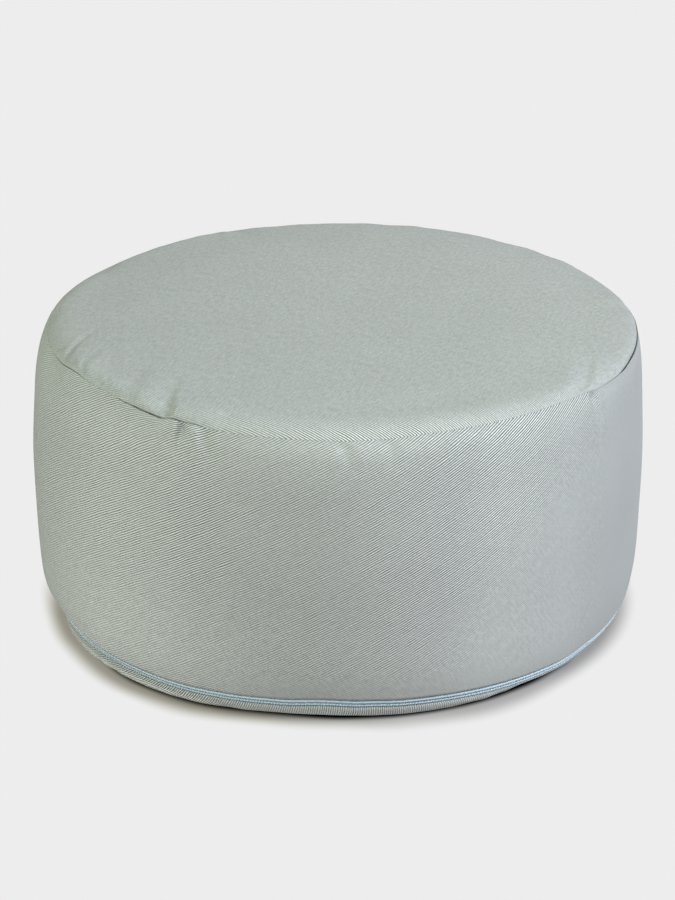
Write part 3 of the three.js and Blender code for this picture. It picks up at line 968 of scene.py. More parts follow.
    # angle, spread, reach in millimetres, depth in millimetres, slant and softness of each dent
    PUCKERS = {
        Panel.TOP: (
            (-68.6, 1.3, 42, 1.0, -23), (-60.2, 1.4, 42, 0.7, -20), (-44, 2.2, 50, 0.5, -18),
            (-34.3, 0.9, 54, 1.7, -14.5, 4), (-1, 1.6, 18, 0.6, -3), (9, 1.6, 18, 0.6, 3),
            (15, 2.4, 20, -0.6, 3),
            (51, 1.7, 36, 1.2, 34, 3), (47, 2.4, 34, -0.3, 20), (98, 3, 30, 1.0, -6), (131, 3, 34, 1.2, 8),
            (170, 3, 24, 0.8), (-157, 2.2, 64, 1.0), (-122, 3, 30, 1.0, 6), (-95, 3, 26, 0.9),
        ),
        Panel.WALL: (
            (-64, 1.8, 20, 0.6), (-36.2, 2.0, 24, -1.5), (-31.6, 0.8, 20, 4.6, 0.5),
            (-29.2, 1.0, 36, -1.6, 7),
            (-26.6, 0.9, 34, 1.2, 7), (-0.5, 1.2, 20, 1.0, 4), (4, 1.6, 22, -0.6), (8.5, 1.2, 20, 1.0, 2),
            (55.2, 1.1, 28, 2.2, 1), (84, 3, 22, 1.0), (118, 3, 24, 1.2, -2), (152, 3, 22, 1.2, 2),
            (-143, 3, 24, 1.4, -2), (-104, 3, 22, 1.0),
        ),
        Panel.BOTTOM: (
            (-56, 1.2, 14, 1.0, 1), (-51, 1.4, 14, 1.3, 1), (-38, 1.6, 12, 0.6), (-22, 1.6, 12, 0.7, 1),
            (3, 1.8, 12, 0.5), (31, 1.6, 12, 0.8, 1), (76, 1.8, 14, 0.8), (108, 1.8, 14, 0.8, 1),
            (-98, 1.8, 14, 0.9), (150, 2.0, 14, 0.8), (-150, 2.0, 14, 0.8),
        ),
    }
    # ranges of the place, spread, reach and depth in millimetres, and slant of the small gathers
    GATHER_RANGES = ((-0.4, 0.4), (0.9, 1.9), (5, 15), (0.05, 0.35), (-2, 2))
    # radians by which the cloth of a round panel is turned
    CLOTH_TURNS = {Panel.TOP: math.radians(64), Panel.BOTTOM: math.radians(-70)}

    @cached_property
    def angle(self) -> Array:
        """Spaces the mesh's columns, closer together where the cushion faces forward.

        Returns:
            Their angles in degrees.
        """
        stops = (-TURN / 2, *self.front, TURN / 2)
        spans = zip(stops, stops[1:], (self.back_step, self.front_step, self.back_step))
        parts = [np.linspace(a, b, round((b - a) / step), endpoint=False) for a, b, step in spans]
        return np.concatenate(parts)

    def puckers(self) -> list[Pucker]:
        """Lists the dents along the seams, with small gathers of the cloth between them.

        Returns:
            The dents that show, then the small gathers in a fixed random order.
        """
        dents = [
            Pucker(panel, angle, spread, reach * MM, depth * MM, *turns)
            for panel, rows in self.PUCKERS.items()
            for angle, spread, reach, depth, *turns in rows
        ]
        draw = random.Random(self.gather_seed)
        for panel in Panel:
            for step in range(self.gather_count):
                place, spread, reach, depth, slant = (draw.uniform(*ends) for ends in self.GATHER_RANGES)
                angle = (step + place) * TURN / self.gather_count
                dents.append(Pucker(panel, angle, spread, reach * MM, depth * MM, slant))
        return dents

    def ring(self, radius: Number, height: Number) -> Array:
        """Returns a ring of the mesh from its radius and its height."""
        return np.stack([radius + 0.0 * self.angle, height + 0.0 * self.angle], axis=-1)

    def seam_steps(self) -> Array:
        """Returns the places of the rings beside the top seam, from 0 to 1, crowded towards it."""
        return (np.arange(self.shoulder_rings + 1) / self.shoulder_rings) ** self.seam_crowd

    def hem(self, side: ZipSide) -> list[Array]:
        """Measures the rings of a hem beside the zip.

        Args:
            side: Half of the zip that the hem is sewn to.

        Returns:
            The rings, from the hem's panel into the channel.
        """
        opened = 1.0 - smoothstep(np.abs(self.angle), self.channel_end, self.channel_end + self.channel_taper)
        tuck = around(self.TUCKS, self.angle)
        rings = []
        for (rise, out), (closed_rise, closed_out) in zip(self.HEMS[side], self.CLOSED_HEM):
            tucked = out - tuck * np.clip((-rise - self.tuck_start) / self.tuck_span, 0.0, 1.0)
            up = mix(side.value * closed_rise, rise, opened)
            rings.append(self.form.band(self.angle, MM * up, MM * mix(closed_out, tucked, opened)))
        return rings

    def foot_profile(self, lower: Sequence[Array]) -> list[Array]:
        """Rolls the bottom panel from the flat foot up to its hem.

        Args:
            lower: Rings of the hem.

        Returns:
            The panel's rings.
        """
        foot = self.ring(self.form.foot_radius, 0.0)
        rings = [foot * ((step + 1) / self.foot_rings) for step in range(self.foot_rings)]
        hem, lip = lower[:2]
        under = hem + self.foot_handle * (hem - lip) / np.linalg.norm(hem - lip, axis=1, keepdims=True)
        roll = (foot, self.ring(MM * around(self.FOOT_CORNERS, self.angle), 0.0), under, hem)
        return rings + [bend(roll, step / self.roll_rings) for step in range(1, self.roll_rings)]

    def slit(self, angle: Array, side: float, share: float) -> Array:
        """Measures a ring in the top seam.

        Args:
            angle: Angles in degrees.
            side: Place across the slit, from -1 at the wall's lip to 1 at the top panel's lip.
            share: Place down the slit, from 0 at its mouth to 1 at the thread.

        Returns:
            The radius and the height at each angle.
        """
        gape = around(self.SEAM_OPEN, angle)
        across = side * (self.slit_play + 0.5 * self.slit_width * gape)
        down = share * (self.thread_depth + self.slit_depth * gape)
        cos, sin = math.cos(self.slit_dip), math.sin(self.slit_dip)
        radius = self.form.seam_radius + MM * around(self.SEAM_REACH, angle)
        height = self.form.seam_height + MM * around(self.SEAM_LIFT, angle)
        return np.stack([radius - cos * down - sin * across, height - sin * down + cos * across], axis=-1)

    def wall_profile(self, hem: Array) -> Array:
        """Raises the side wall from its hem to its lip at the top seam.

        Args:
            hem: First ring of the hem.

        Returns:
            The wall's rings.
        """
        form, angle = self.form, self.angle
        outline = smooth_curve(self.WALL_CORNERS, self.wall_rings) * MM
        rise = hem + slope(form.zip_tilt(angle), self.lip_handle, self.lip_handle)
        low_handle = outline[0] - self.wall_handle * np.array([self.wall_slope, 1.0])
        foot_bend = (hem, rise, low_handle, outline[0])
        lip = self.slit(angle, -1.0, 0.0)
        handle = self.shoulder_handle - self.shoulder_give * around(self.SEAM_OPEN, angle)
        leaving = lip + handle[:, None] * slope(np.radians(around(self.WALL_LEANS, angle)), 1.0, -1.0)
        upright = outline[-1] - outline[-2]
        high_handle = outline[-1] + self.upright_handle * upright / np.linalg.norm(upright)
        shoulder = (lip, leaving, high_handle, outline[-1])
        rings = [bend(foot_bend, (step + 1) / self.lower_rings) for step in range(self.lower_rings)]
        rings += [self.ring(*corner) for corner in outline[1:-1]]
        rings += [bend(shoulder, share) for share in self.seam_steps()[::-1]]
        wall = np.array(rings)
        height = wall[..., 1]
        swollen = np.clip((height - self.swell_start) / (form.seam_height - self.swell_start), 0.0, 1.0)
        bent = np.exp(-((height - self.bend_height) / self.bend_span) ** 2)
        wall[..., 0] += form.swell(angle) * np.sin(np.pi * swollen)
        wall[..., 0] += MM * around(self.BEND_REACHES, angle) * bent
        return wall

    def top_profile(self) -> list[Array]:
        """Closes the top panel from its lip at the seam over its rolled edge to the crown.

        Returns:
            The panel's rings.
        """
        form, angle, edge = self.form, self.angle, self.crown_edge
        gape = around(self.SEAM_OPEN, angle)
        lip = self.slit(angle, 1.0, 0.0)
        lean = np.radians(90.0 - around(self.ROLL_TURNS, angle) - self.roll_lift * gape)
        climb = lip + (self.roll_handle - self.roll_give * gape)[:, None] * slope(lean, -1.0, 1.0)
        height = form.crown_height(angle, edge)
        beyond = height - self.crown_handle * form.crown_slope(angle, edge)
        roll = (lip, climb, self.ring(edge + self.crown_handle, beyond), self.ring(edge, height))
        rings = [bend(roll, share) for share in self.seam_steps()]
        for step in range(1, self.crown_rings):
            radius = edge * (1.0 - (step / self.crown_rings) ** self.crown_crowd)
            rings.append(self.ring(radius, form.crown_height(angle, radius)))
        return rings

    def build(self) -> Piece:
        """Sews the cover as one closed mesh with a map for each panel's cloth.

        Returns:
            The cover, not yet dressed.
        """
        form, angle = self.form, self.angle
        columns = len(angle)
        ahead = np.diff(angle, append=angle[0] + TURN)
        lower, upper = self.hem(ZipSide.LOWER), self.hem(ZipSide.UPPER)
        bottom = [*self.foot_profile(lower), *lower]
        wall = [*upper[::-1], *self.wall_profile(upper[0])]
        slit = [self.slit(angle, side, share) for side, share in self.SLIT_RINGS]
        top = self.top_profile()
        profile = np.array([*bottom, *wall, *slit, *top])
        hem, upper_hem = len(bottom) - len(lower), len(bottom) + len(upper) - 1
        lip, mouth = len(bottom) + len(wall) - 1, len(profile) - len(top)
        thread = lip + 2
        lengths = lengths_along(profile[:, np.argmin(np.abs(angle))])
        profile = self.pucker(profile, lengths, {
            Panel.BOTTOM: (hem, range(self.foot_rings, hem + self.dented_rings)),
            Panel.WALL: (lip, range(upper_hem + 1, lip + 1)),
            Panel.TOP: (mouth, range(mouth, len(profile))),
        })
        points = form.point(angle, profile).reshape(-1, 3)
        foot, crown, rim = len(points), len(points) + 1, (len(profile) - 1) * columns
        middles = form.point(np.zeros(2), np.array([[0.0, 0.0], [0.0, form.height]]))
        faces = [(foot, (step + 1) % columns, step) for step in range(columns)]
        faces += grid_faces(len(profile), columns)
        faces += [(crown, rim + step, rim + (step + 1) % columns) for step in range(columns)]
        cover = mesh_object("cushion_cover", np.concatenate([points, middles]), faces)

        def lay(panel: Panel, *places: Pair) -> Array:
            """Lays a strip of faces flat on its panel's cloth.

            Args:
                panel: Panel that the strip belongs to.
                places: For each corner of a face, its step round the drum and its distance along the panel.

            Returns:
                One row of two cloth coordinates for each corner of each face.
            """
            flat = [self.cloth_place(panel, angle + step * ahead, distance) for step, distance in places]
            return np.stack(flat, axis=1).reshape(-1, 2)

        reach, edge = form.foot_radius / self.foot_rings, profile[-1, 0, 0]
        maps = [lay(Panel.BOTTOM, (0.5, 0.0), (1, reach), (0, reach))]
        for row in range(len(profile) - 1):
            panel, (near, far) = Panel.WALL, lengths[row:row + 2]
            if row < len(bottom):
                panel, near, far = Panel.BOTTOM, near + reach, far + reach
            elif row >= thread:
                panel, near, far = Panel.TOP, lengths[-1] + edge - near, lengths[-1] + edge - far
            maps.append(lay(panel, (0, near), (1, near), (1, far), (0, far)))
        maps.append(lay(Panel.TOP, (0.5, 0.0), (0, edge), (1, edge)))
        cloth = cover.data.uv_layers.new(name=FABRIC_MAP)
        cloth.data.foreach_set("uv", np.concatenate(maps).astype(np.float32).ravel())
        looks = [self.foot_look(lengths[hem] - length) for length in lengths[:len(bottom)]]
        for length in lengths[len(bottom):]:
            looks.append(self.cloth_look(length - lengths[thread], length - lengths[upper_hem]))
        ends = {WEAVE: (self.BOTTOM_LINES, self.CROWN_LINES), PAINTED_LIGHT: (self.PAINTED_BOTTOM_LIGHT, self.PAINTED_CROWN_LIGHT)}
        for number, (name, pair) in enumerate(ends.items()):
            values = np.concatenate([*(look[number] for look in looks), pair])
            cover.data.attributes.new(name, "FLOAT", "POINT").data.foreach_set("value", values)
        return cover

    def foot_look(self, down: float) -> tuple[Array, Array]:
        """Tells how the bottom panel's cloth looks along one ring.

        Args:
            down: Distance under the hem; a negative one lies on the lip.

        Returns:
            How clearly the twill's lines show at each angle, and how much painted light lightens it or
            painted shade darkens it.
        """
        inside = smoothstep(down, *self.INSIDE_SPAN)
        lines = mix(around(self.FOOT_LINES, self.angle), self.BOTTOM_LINES, inside)
        # painted shade on the lip beside the zip
        painted_shade = self.painted_lip_shade * (1.0 - smoothstep(down, *self.LIP_SPAN))
        rolled = smoothstep(down, *self.ROLL_SPAN) * (1.0 - inside)
        return lines, self.PAINTED_BOTTOM_LIGHT - painted_shade + around(self.PAINTED_FOOT_LIGHT, self.angle) * rolled

    def cloth_look(self, distance: float, rise: float) -> tuple[Array, Array]:
        """Tells how the wall's or the top panel's cloth looks along one ring.

        Args:
            distance: Distance past the top seam; a negative one lies on the wall.
            rise: Distance above the wall's hem at the zip.

        Returns:
            How clearly the twill's lines show at each angle, and how much painted light lightens it or
            painted shade darkens it.
        """
        angle, painted_rim_highlight = self.angle, around(self.PAINTED_RIM_HIGHLIGHT, self.angle)
        if distance >= 0.0:
            share = smoothstep(distance, *self.CROWN_SPAN)
            aside = np.sin(np.radians(angle)) * max(1.0 - distance / self.form.seam_radius, 0.0)
            painted_crown_light = self.PAINTED_CROWN_LIGHT + self.PAINTED_CROWN_SIDE_LIGHT * aside
            return mix(around(self.RIM_LINES, angle), self.CROWN_LINES, share), mix(painted_rim_highlight, painted_crown_light, share)
        faded = smoothstep((-distance - MM * around(self.FADES, angle)) / self.fade_span, -0.5, 0.5)
        lines = around(self.WALL_LINES, angle) * mix(1.0, around(self.LOWER_LINES, angle), faded)
        near = 1.0 - smoothstep(rise, *self.HEM_SPAN)
        lines = lines * mix(1.0, around(self.HEM_LINES, angle), near)
        low = smoothstep(-distance, *self.LOW_SPAN)
        painted_light = around(self.PAINTED_WALL_LIGHT, angle) * mix(1.0, around(self.PAINTED_LOWER_WALL_LIGHT, angle), low)
        return lines, mix(painted_rim_highlight, painted_light, smoothstep(-distance, *self.RIM_SPAN))

    def pucker(self, profile: Array, lengths: Array, grips: dict[Panel, tuple[int, range]]) -> Array:
        """Draws the dents into the panels, across the cloth.

        Args:
            profile: Rings of the whole cover.
            lengths: Distance of each ring along the cloth.
            grips: For each panel, the ring at its seam and the rings that are dented.

        Returns:
            The rings with their dents.
        """
        dents = self.puckers()
        run = np.gradient(profile, axis=0)
        out = np.stack([run[..., 1], -run[..., 0]], axis=-1)
        out /= np.linalg.norm(out, axis=-1, keepdims=True)
        dented = profile.copy()
        for panel, (seam, rings) in grips.items():
            for ring in rings:
                distance = abs(lengths[ring] - lengths[seam])
                depth = sum(dent.at(self.angle, distance) for dent in dents if dent.panel is panel)
                dented[ring] -= out[ring] * depth[:, None]
        dented[..., 1] = np.maximum(dented[..., 1], 0.0)
        return dented

    def cloth_place(self, panel: Panel, angle: Array, distance: float) -> Array:
        """Finds where corners lie on the flat cloth of their panel.

        Args:
            panel: Panel that the corners belong to.
            angle: Angles in degrees.
            distance: Distance along the panel, from its hem or from its middle.

        Returns:
            One row of two cloth coordinates for each angle, in metres.
        """
        turn = np.radians(angle)
        if panel is Panel.WALL:
            return np.stack([turn * self.form.belly_radius, np.full_like(turn, distance)], axis=-1)
        return distance * slope(turn + self.CLOTH_TURNS[panel], 1.0, -1.0)

    def dress(self, finish: Material) -> Piece:
        """Args:
            finish: The twill.

        Returns:
            The finished cover.
        """
        cover = self.build()
        cover.data.materials.append(finish)
        return enlist(cover, ["cushion"])


@dataclass
class ZipChain:
    """The two halves of the zip: a woven tape each, a cord along its inner edge and a coil of teeth."""

    form: DrumForm
    start: float = -122.0
    length: float = 600 * MM
    pitch: float = 1.49 * MM
    wire: float = 0.33 * MM
    drop: float = 0.6 * MM
    cord_rise: float = 1.0 * MM
    cord_out: float = 0.3 * MM
    cord_sides: int = 8
    heel: float = 0.38 * MM
    head: float = 0.26 * MM
    arch: float = 0.5 * MM
    sink: float = 0.2 * MM
    lean: float = 0.34 * MM
    coil_out: float = 0.2 * MM
    coil_steps: int = 4
    tape_back: float = -1.9 * MM
    tape_face: float = -1.05 * MM
    tape_gap: float = 0.35 * MM
    tape_edge: float = 3.6 * MM
    tape_round: float = 0.2 * MM
    tape_columns: int = 480

    CORD_RADII = {ZipSide.UPPER: 0.56 * MM, ZipSide.LOWER: 0.3 * MM}

    @property
    def finish_angle(self) -> float:
        """Angle at which the zip ends, where its slider stands."""
        return self.start + math.degrees(self.length / self.form.zip_radius)

    def strip(self, name: str, section: Sequence[Pair], finish: Material) -> Piece:
        """Draws a closed section along the whole zip.

        Args:
            name: Name of the strip.
            section: Rise and out of the section's corners, turning left.
            finish: Material of the strip.

        Returns:
            The strip with its cloth map.
        """
        angle = np.linspace(self.start, self.finish_angle, self.tape_columns)
        size = len(section)
        rows = [self.form.band_point(angle, rise, out) for rise, out in section]
        points = np.stack(rows, axis=1).reshape(-1, 3)
        ends = [list(range(size))[::-1], list(range(len(points) - size, len(points)))]
        strip = mesh_object(name, points, grid_faces(self.tape_columns, size) + ends)
        cloth = strip.data.uv_layers.new(name=FABRIC_MAP)
        run = np.radians(angle - self.start) * self.form.zip_radius
        girth = lengths_along(np.array(section))
        for loop in strip.data.loops:
            column, corner = divmod(loop.vertex_index, size)
            cloth.data[loop.index].uv = (run[column], girth[corner])
        strip.data.materials.append(finish)
        return strip

    def tape(self, side: ZipSide, finish: Material) -> Piece:
        """Weaves one tape as a closed strip with rounded edges.

        Args:
            side: Half of the zip.
            finish: Material of the tape.

        Returns:
            The tape with its cloth map.
        """
        near, far, back, face = self.tape_gap, self.tape_edge, self.tape_back, self.tape_face
        off = self.tape_round
        section = [
            (near, back + off), (near + off, back), (far - off, back), (far, back + off),
            (far, face - off), (far - off, face), (near + off, face), (near, face - off),
        ]
        if side is ZipSide.LOWER:
            section = [(-rise, out) for rise, out in section[::-1]]
        return self.strip(f"zip_tape_{side.name.lower()}", section, finish)

    def cord(self, side: ZipSide, finish: Material) -> Piece:
        """Lays the cord that one coil is wound round.

        Args:
            side: Half of the zip.
            finish: Material of the cord.

        Returns:
            The cord.
        """
        rise, out = side.value * self.cord_rise - self.drop, self.tape_face + self.cord_out
        turns = np.linspace(0.0, math.tau, self.cord_sides, endpoint=False)
        radius = self.CORD_RADII[side]
        section = [(rise + radius * math.cos(turn), out + radius * math.sin(turn)) for turn in turns]
        return self.strip(f"zip_cord_{side.name.lower()}", section, finish)

    def coil(self, side: ZipSide, finish: Material) -> Piece:
        """Winds the teeth of one half along the middle of the band.

        Args:
            side: Half of the zip.
            finish: Material of the filament.

        Returns:
            The row of teeth.
        """
        way, steps = side.value, self.coil_steps
        row = LoopRow(
            name=f"zip_coil_{side.name.lower()}",
            pitch=self.pitch,
            wire=self.wire,
            start=(-self.lean, way * (self.cord_rise + self.heel), -self.sink),
            middle=(0.0, way * self.cord_rise, 2.0 * self.arch),
            end=(self.lean, way * (self.cord_rise - self.head), -self.sink),
        )
        angle = np.linspace(self.start, self.finish_angle, steps * self.tape_columns)[2 * steps:-2 * steps]
        angle = angle + math.degrees(0.25 * way * self.pitch / self.form.zip_radius)
        path = self.form.band_point(angle, -self.drop, self.tape_face + self.coil_out)
        return row.build(path, self.form.band_off(angle), finish)

    def dress(self, tape: Material, coil: Material) -> list[Piece]:
        """Builds both halves and gives them their finishes.

        Args:
            tape: Material of the tapes.
            coil: Material of the cords and the teeth.

        Returns:
            The tapes, the cords and the coils.
        """
        pieces = []
        for side in ZipSide:
            half = (self.tape(side, tape), self.cord(side, coil), self.coil(side, coil))
            pieces += [enlist(piece, [f"zip_stringer_{side.name.lower()}"]) for piece in half]
        return pieces


@dataclass
class ZipSlider:
    """The slider at the zip's end behind the cushion, with its bridge and its pull."""

    form: DrumForm
    zip_chain: ZipChain
    length: float = 10.5 * MM
    width: float = 7 * MM
    tail_width: float = 5.4 * MM
    height: float = 3.6 * MM
    nose: float = 0.8 * MM
    body_edge: float = 0.5 * MM
    clearance: float = 0.3 * MM
    channel_depth: float = 2.2 * MM
    bridge_length: float = 6.4 * MM
    bridge_height: float = 3.6 * MM
    bridge_width: float = 2.0 * MM
    bridge_root: float = 0.4 * MM
    bridge_edge: float = 0.25 * MM
    bar: float = 1.0 * MM
    pull_length: float = 22 * MM
    pull_width: float = 6.4 * MM
    pull_thickness: float = 1.2 * MM
    pull_edge: float = 0.3 * MM
    pull_play: float = 0.4 * MM
    tip_width: float = 5 * MM
    tip_steps: int = 13
    eye_length: float = 3.2 * MM
    eye_width: float = 3.4 * MM
    eye_edge: float = 1.3 * MM
    swing: float = math.radians(8)

    EDGE_STEPS = 3
    FLAT_ANGLE = 0.01
    SHARP_ANGLE = 0.5

    def placement(self) -> Matrix:
        """Works out the slider's frame: X on along the zip, Y up across it and Z off the cloth.

        Returns:
            The matrix that carries a piece from the slider's frame to the drum.
        """
        form = self.form
        gap = math.degrees(self.clearance / form.zip_radius)
        middle = self.zip_chain.finish_angle + gap + math.degrees(self.length / 2 / form.zip_radius)
        turn = math.radians(middle)
        along = Vector((math.cos(turn), math.sin(turn), 0.0))
        off = Vector(form.band_off(np.array([middle]))[0])
        across = off.cross(along)
        base = form.band_point(np.array([middle]), 0.0, self.clearance - self.channel_depth)[0]
        origin = Vector(base) - along * self.length / 2
        return Matrix.Translation(origin) @ Matrix((along, across, off)).transposed().to_4x4()

    def plate(self, outline: Sequence[Pair], hole: Sequence[Pair], depth: float, bevel: float) -> Mesh:
        """Cuts a plate, with or without a hole, and rounds its edges.

        Args:
            outline: Corners of the plate.
            hole: Corners of the hole, or none.
            depth: Thickness of the plate.
            bevel: Radius of its edges.

        Returns:
            The plate's mesh, lying on the XY plane.
        """
        plate = bmesh.new()
        edges = []
        for ring in filter(None, (outline, hole)):
            corners = [plate.verts.new((x, y, 0.0)) for x, y in ring]
            edges += [plate.edges.new((corners[step - 1], corners[step])) for step in range(len(corners))]
        bmesh.ops.triangle_fill(plate, edges=edges, use_beauty=True, use_dissolve=False)
        grown = bmesh.ops.extrude_face_region(plate, geom=plate.faces[:])
        raised = [part for part in grown["geom"] if isinstance(part, bmesh.types.BMVert)]
        bmesh.ops.translate(plate, verts=raised, vec=(0.0, 0.0, depth))
        bmesh.ops.recalc_face_normals(plate, faces=plate.faces[:])
        whole = {"verts": plate.verts[:], "edges": plate.edges[:]}
        bmesh.ops.dissolve_limit(plate, angle_limit=self.FLAT_ANGLE, **whole)
        sharp = [edge for edge in plate.edges if edge.calc_face_angle(0.0) > self.SHARP_ANGLE]
        rounding = {"segments": self.EDGE_STEPS, "profile": 0.5, "affect": "EDGES", "clamp_overlap": True}
        bmesh.ops.bevel(plate, geom=sharp, offset=bevel, **rounding)
        mesh = bpy.data.meshes.new("plate")
        plate.to_mesh(mesh)
        plate.free()
        return mesh

    def body(self) -> Piece:
        """Casts the slider: a body that narrows to its tail, and its bridge.

        Returns:
            The slider in the drum's frame.
        """
        half, tail, nose = self.width / 2, self.tail_width / 2, self.nose
        side = [(0.0, half - nose), (nose, half), (self.length / 2, half), (self.length, tail)]
        block = self.plate([(x, -y) for x, y in side] + side[::-1], [], self.height, self.body_edge)
        span, rise, bar, root = self.bridge_length, self.bridge_height, self.bar, -self.bridge_root
        arch = [(0.0, root), (span, root), (span, rise / 2), (span - bar, rise), (bar, rise), (0.0, rise / 2)]
        eye = [(bar, 0.0), (bar, rise - bar), (span - bar, rise - bar), (span - bar, 0.0)]
        bridge = self.plate(arch, eye, self.bridge_width, self.bridge_edge)
        stand = Matrix.Translation(((self.length - span) / 2, self.bridge_width / 2, self.height))
        bridge.transform(stand @ Matrix.Rotation(math.pi / 2, 4, "X"))
        return self.join("zip_slider_body", [block, bridge])

    def pull(self) -> Piece:
        """Casts the pull: a tab with a round tip and an eye for the bridge.

        Returns:
            The pull in the drum's frame.
        """
        radius, half = self.tip_width / 2, self.pull_width / 2
        turns = np.linspace(0.0, math.pi, self.tip_steps)
        middle = self.pull_length - radius
        tip = [(middle + radius * math.sin(turn), -radius * math.cos(turn)) for turn in turns]
        near, far, side = self.eye_edge, self.eye_edge + self.eye_length, self.eye_width / 2
        eye = [(near, -side), (near, side), (far, side), (far, -side)]
        plate = self.plate([(0.0, half), (0.0, -half), *tip], eye, self.pull_thickness, self.pull_edge)
        start = (self.length + self.bridge_length) / 2 - self.bar - self.eye_edge - self.pull_play
        lift = self.clearance + (self.length - start) * math.tan(self.swing)
        hung = Matrix.Translation((start, 0.0, self.height + lift))
        plate.transform(hung @ Matrix.Rotation(self.swing, 4, "Y"))
        return self.join("zip_pull_tab", [plate])

    def join(self, name: str, parts: Sequence[Mesh]) -> Piece:
        """Joins meshes in the slider's frame into one piece on the drum.

        Args:
            name: Name of the piece.
            parts: Meshes in the slider's frame.

        Returns:
            The piece.
        """
        whole = bmesh.new()
        for part in parts:
            whole.from_mesh(part)
        whole.transform(self.placement())
        mesh = bpy.data.meshes.new(name)
        whole.to_mesh(mesh)
        whole.free()
        mesh.shade_smooth()
        return placed(name, mesh)

    def dress(self, enamel: Material) -> list[Piece]:
        """Builds the slider and its pull and gives them their enamel.

        Args:
            enamel: Material of both.

        Returns:
            The slider and the pull.
        """
        pieces = []
        for piece, node in ((self.body(), "zip_slider"), (self.pull(), "zip_pull")):
            piece.data.materials.append(enamel)
            pieces.append(enlist(piece, [node]))
        return pieces


@dataclass
class SeamStitches:
    """Thread that shows between the two lips of the top seam."""

    cover: CushionCover
    pitch: float = 2.8 * MM
    wire: float = 0.2 * MM
    span: float = 0.55 * MM
    lean: float = 0.3 * MM
    rise: float = 0.5 * MM
    columns: int = 1440

    def dress(self, thread: Material) -> Piece:
        """Sews the top seam's stitches round the whole drum.

        Args:
            thread: Material of the thread.

        Returns:
            The stitches.
        """
        row = LoopRow(
            name="seam_stitches",
            pitch=self.pitch,
            wire=self.wire,
            start=(-self.lean, -self.span, 0.0),
            middle=(0.0, 0.0, self.rise),
            end=(self.lean, self.span, 0.0),
        )
        form = self.cover.form
        angle = np.linspace(-TURN / 2, TURN / 2, self.columns)
        path = form.point(angle, self.cover.slit(angle, 0.0, 1.0))
        return enlist(row.build(path, form.outward(angle, self.cover.slit_dip), thread))


@dataclass(frozen=True)
class SoftLight:
    """A broad, far-off studio light.

    Attributes:
        name: Name of the lamp.
        azimuth: Degrees from the front, growing towards +X.
        elevation: Degrees above the floor.
        strength: Strength of the light.
        colour: Colour of the light.
    """

    name: str
    azimuth: float
    elevation: float
    strength: float
    colour: Colour

    SPREAD = math.radians(30)
    DISTANCE = 3.0

    def place(self) -> None:
        """Hangs the lamp in the scene."""
        lamp = bpy.data.lights.new(self.name, "SUN")
        lamp.energy = self.strength
        lamp.angle = self.SPREAD
        lamp.color = self.colour
        turn, rise = math.radians(self.azimuth), math.radians(self.elevation)
        away = Vector((math.sin(turn) * math.cos(rise), -math.cos(turn) * math.cos(rise), math.sin(rise)))
        holder = placed(self.name, lamp)
        holder.rotation_euler = away.to_track_quat("Z", "Y").to_euler()
        holder.location = away * self.DISTANCE


@dataclass(frozen=True)
class PaintedFootShadow:
    """The soft shadow round the cushion's foot, painted into the floor's glow rather than cast by the lamps.

    Attributes:
        middle: Place that the shadow's radii are measured from.
        glow: Light of the floor outside the shadow.
        contact_span: Width over which the painted dark contact shadow along the foot fades.
        green_share: Share of a warm shadow's loss of blue that its green loses too.
    """

    middle: Pair = (-1.5 * MM, 2 * MM)
    glow: float = 0.847
    contact_span: float = 5 * MM
    green_share: float = 0.16

    # radius in millimetres half-way through the shadow's soft edge, by angle
    EDGES = {
        -180: 143, -80: 142, -66: 143, -42: 147.5, -30: 147, -12: 142, 0: 142, 14: 147.5, 28: 150, 54: 145,
        100: 145, 130: 143,
    }
    # half the width in millimetres of that soft edge
    WIDTHS = {-180: 8, -100: 8, -80: 5, -60: 6, -42: 6.5, -28: 9.5, 5: 10.5, 28: 9, 45: 7, 80: 6.5, 110: 8}
    # share of the light that is left inside it
    DEPTHS = {-180: 0.33, -42: 0.35, -28: 0.2, -14: 0.0, 0: 0.14, 14: 0.48, 42: 0.47, 55: 0.37}
    # radius in millimetres of the painted dark contact shadow along the foot
    CONTACTS = {
        -180: 118, -95: 122, -66: 133, -42: 139, -28: 139, -14: 135.5, 3: 138.5, 14: 139.5, 28: 139.5,
        42: 138.5, 54: 137, 66: 132, 90: 122,
    }
    # how warm the shadow is
    WARMTHS = {-180: 0.2, -90: 0.3, -28: 0.28, 22: 0.02, 45: -0.04, 90: -0.02}

    def colours(self, angle: Array, radius: float) -> Array:
        """Works out the floor's glow, with the painted shadow in it, along one ring round the shadow's
        middle.

        Args:
            angle: Angles in degrees.
            radius: The ring's radius.

        Returns:
            One row of red, green, blue and alpha for each angle.
        """
        share = (radius - MM * around(self.EDGES, angle)) / (2 * MM * around(self.WIDTHS, angle))
        light = mix(around(self.DEPTHS, angle), 1.0, smoothstep(share, -0.5, 0.5))
        contact = (radius - MM * around(self.CONTACTS, angle)) / self.contact_span
        light = light * smoothstep(contact, -0.5, 0.5)
        dull = around(self.WARMTHS, angle) * (1.0 - light)
        tints = (np.ones_like(dull), 1.0 - self.green_share * dull, 1.0 - dull)
        return np.stack([*(self.glow * light * tint for tint in tints), np.ones_like(dull)], axis=-1)


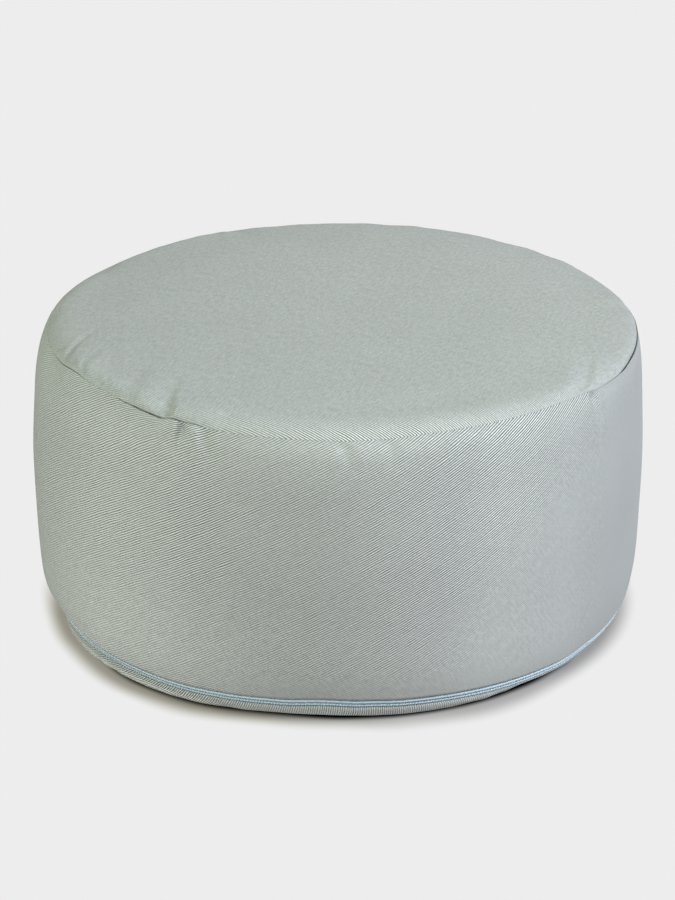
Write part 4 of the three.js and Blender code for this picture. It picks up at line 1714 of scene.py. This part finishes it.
@dataclass
class Studio:
    """Pale floor, soft lights and the camera."""

    target: Triple = (0.0, 0.0, 70 * MM)
    elevation: float = math.radians(23.3)
    distance: float = 2.25
    camera_rise: float = 8.7 * MM
    lens: float = 182.2
    sensor: float = 36.0
    sight: float = 50.0
    floor_drop: float = 0.3 * MM
    floor_columns: int = 180
    world: Colour = (0.01, 0.01, 0.01)

    FLOOR_RINGS = (60 * MM, 110 * MM, *(radius * MM for radius in range(114, 170)), 0.2, 0.5, 4.0, 60.0)
    LIGHTS = (
        SoftLight("right_light", 80, 30, 5.3, (0.855, 0.868, 1.0)),
        SoftLight("left_light", -80, 8, 1.62, (0.975, 1.0, 0.80)),
        SoftLight("top_light", -20, 55, 2.6, (0.82, 1.0, 0.77)),
        SoftLight("front_light", -20, 30, 1.35, (0.94, 0.75, 1.0)),
        SoftLight("back_light", 160, 30, 0.6, (1.0, 0.65, 0.88)),
    )

    def floor(self) -> None:
        """Lays a round floor just under the foot, with the cushion's shadow painted into its glow."""
        shadow = PaintedFootShadow()
        columns = self.floor_columns
        angle = np.linspace(-TURN / 2, TURN / 2, columns, endpoint=False)
        spokes = np.pad(slope(np.radians(angle), 1.0, -1.0), ((0, 0), (0, 1)))
        middle = np.array([*shadow.middle, -self.floor_drop])
        rings = [middle + radius * spokes for radius in self.FLOOR_RINGS]
        faces = [face[::-1] for face in grid_faces(len(rings), columns)]
        ground = mesh_object("floor", np.concatenate(rings), [list(range(columns)), *faces])
        glow = ground.data.attributes.new(FLOOR_GLOW_AND_PAINTED_SHADOW, "FLOAT_COLOR", "POINT")
        colours = np.concatenate([shadow.colours(angle, radius) for radius in self.FLOOR_RINGS])
        glow.data.foreach_set("color", colours.astype(np.float32).ravel())
        ground.data.materials.append(FloorFinish().material())

    def lights(self) -> None:
        """Hangs the lights and sets the even light of the room."""
        for light in self.LIGHTS:
            light.place()
        room = bpy.data.worlds.new("room")
        room.use_nodes = True
        room.node_tree.nodes["Background"].inputs[0].default_value = (*self.world, 1.0)
        bpy.context.scene.world = room
        bpy.context.scene.view_settings.view_transform = "Standard"

    def camera(self) -> None:
        """Sets up the camera at the photograph's viewing angle."""
        camera = bpy.data.cameras.new("camera")
        camera.lens = self.lens
        camera.sensor_width = self.sensor
        camera.clip_end = self.sight
        forward = Vector((0.0, math.cos(self.elevation), -math.sin(self.elevation)))
        up = Vector((0.0, math.sin(self.elevation), math.cos(self.elevation)))
        holder = placed("camera", camera)
        holder.location = Vector(self.target) + up * self.camera_rise - forward * self.distance
        holder.rotation_euler = forward.to_track_quat("-Z", "Y").to_euler()
        bpy.context.scene.camera = holder

    def build(self) -> None:
        """Sets up the floor, the lights and the camera."""
        self.floor()
        self.lights()
        self.camera()


def main() -> None:
    """Builds the studio and the cushion's pieces in order."""
    logging.basicConfig(level=logging.INFO, format="%(name)s: %(message)s")
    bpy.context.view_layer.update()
    form = DrumForm()
    Studio().build()
    cover = CushionCover(form)
    cover.dress(TwillFinish().material())
    SeamStitches(cover).dress(ThreadFinish().material())
    zip_chain = ZipChain(form)
    zip_chain.dress(TapeFinish().material(), CoilFinish().material())
    ZipSlider(form, zip_chain).dress(EnamelFinish().material())


if __name__ == "__main__":
    main()
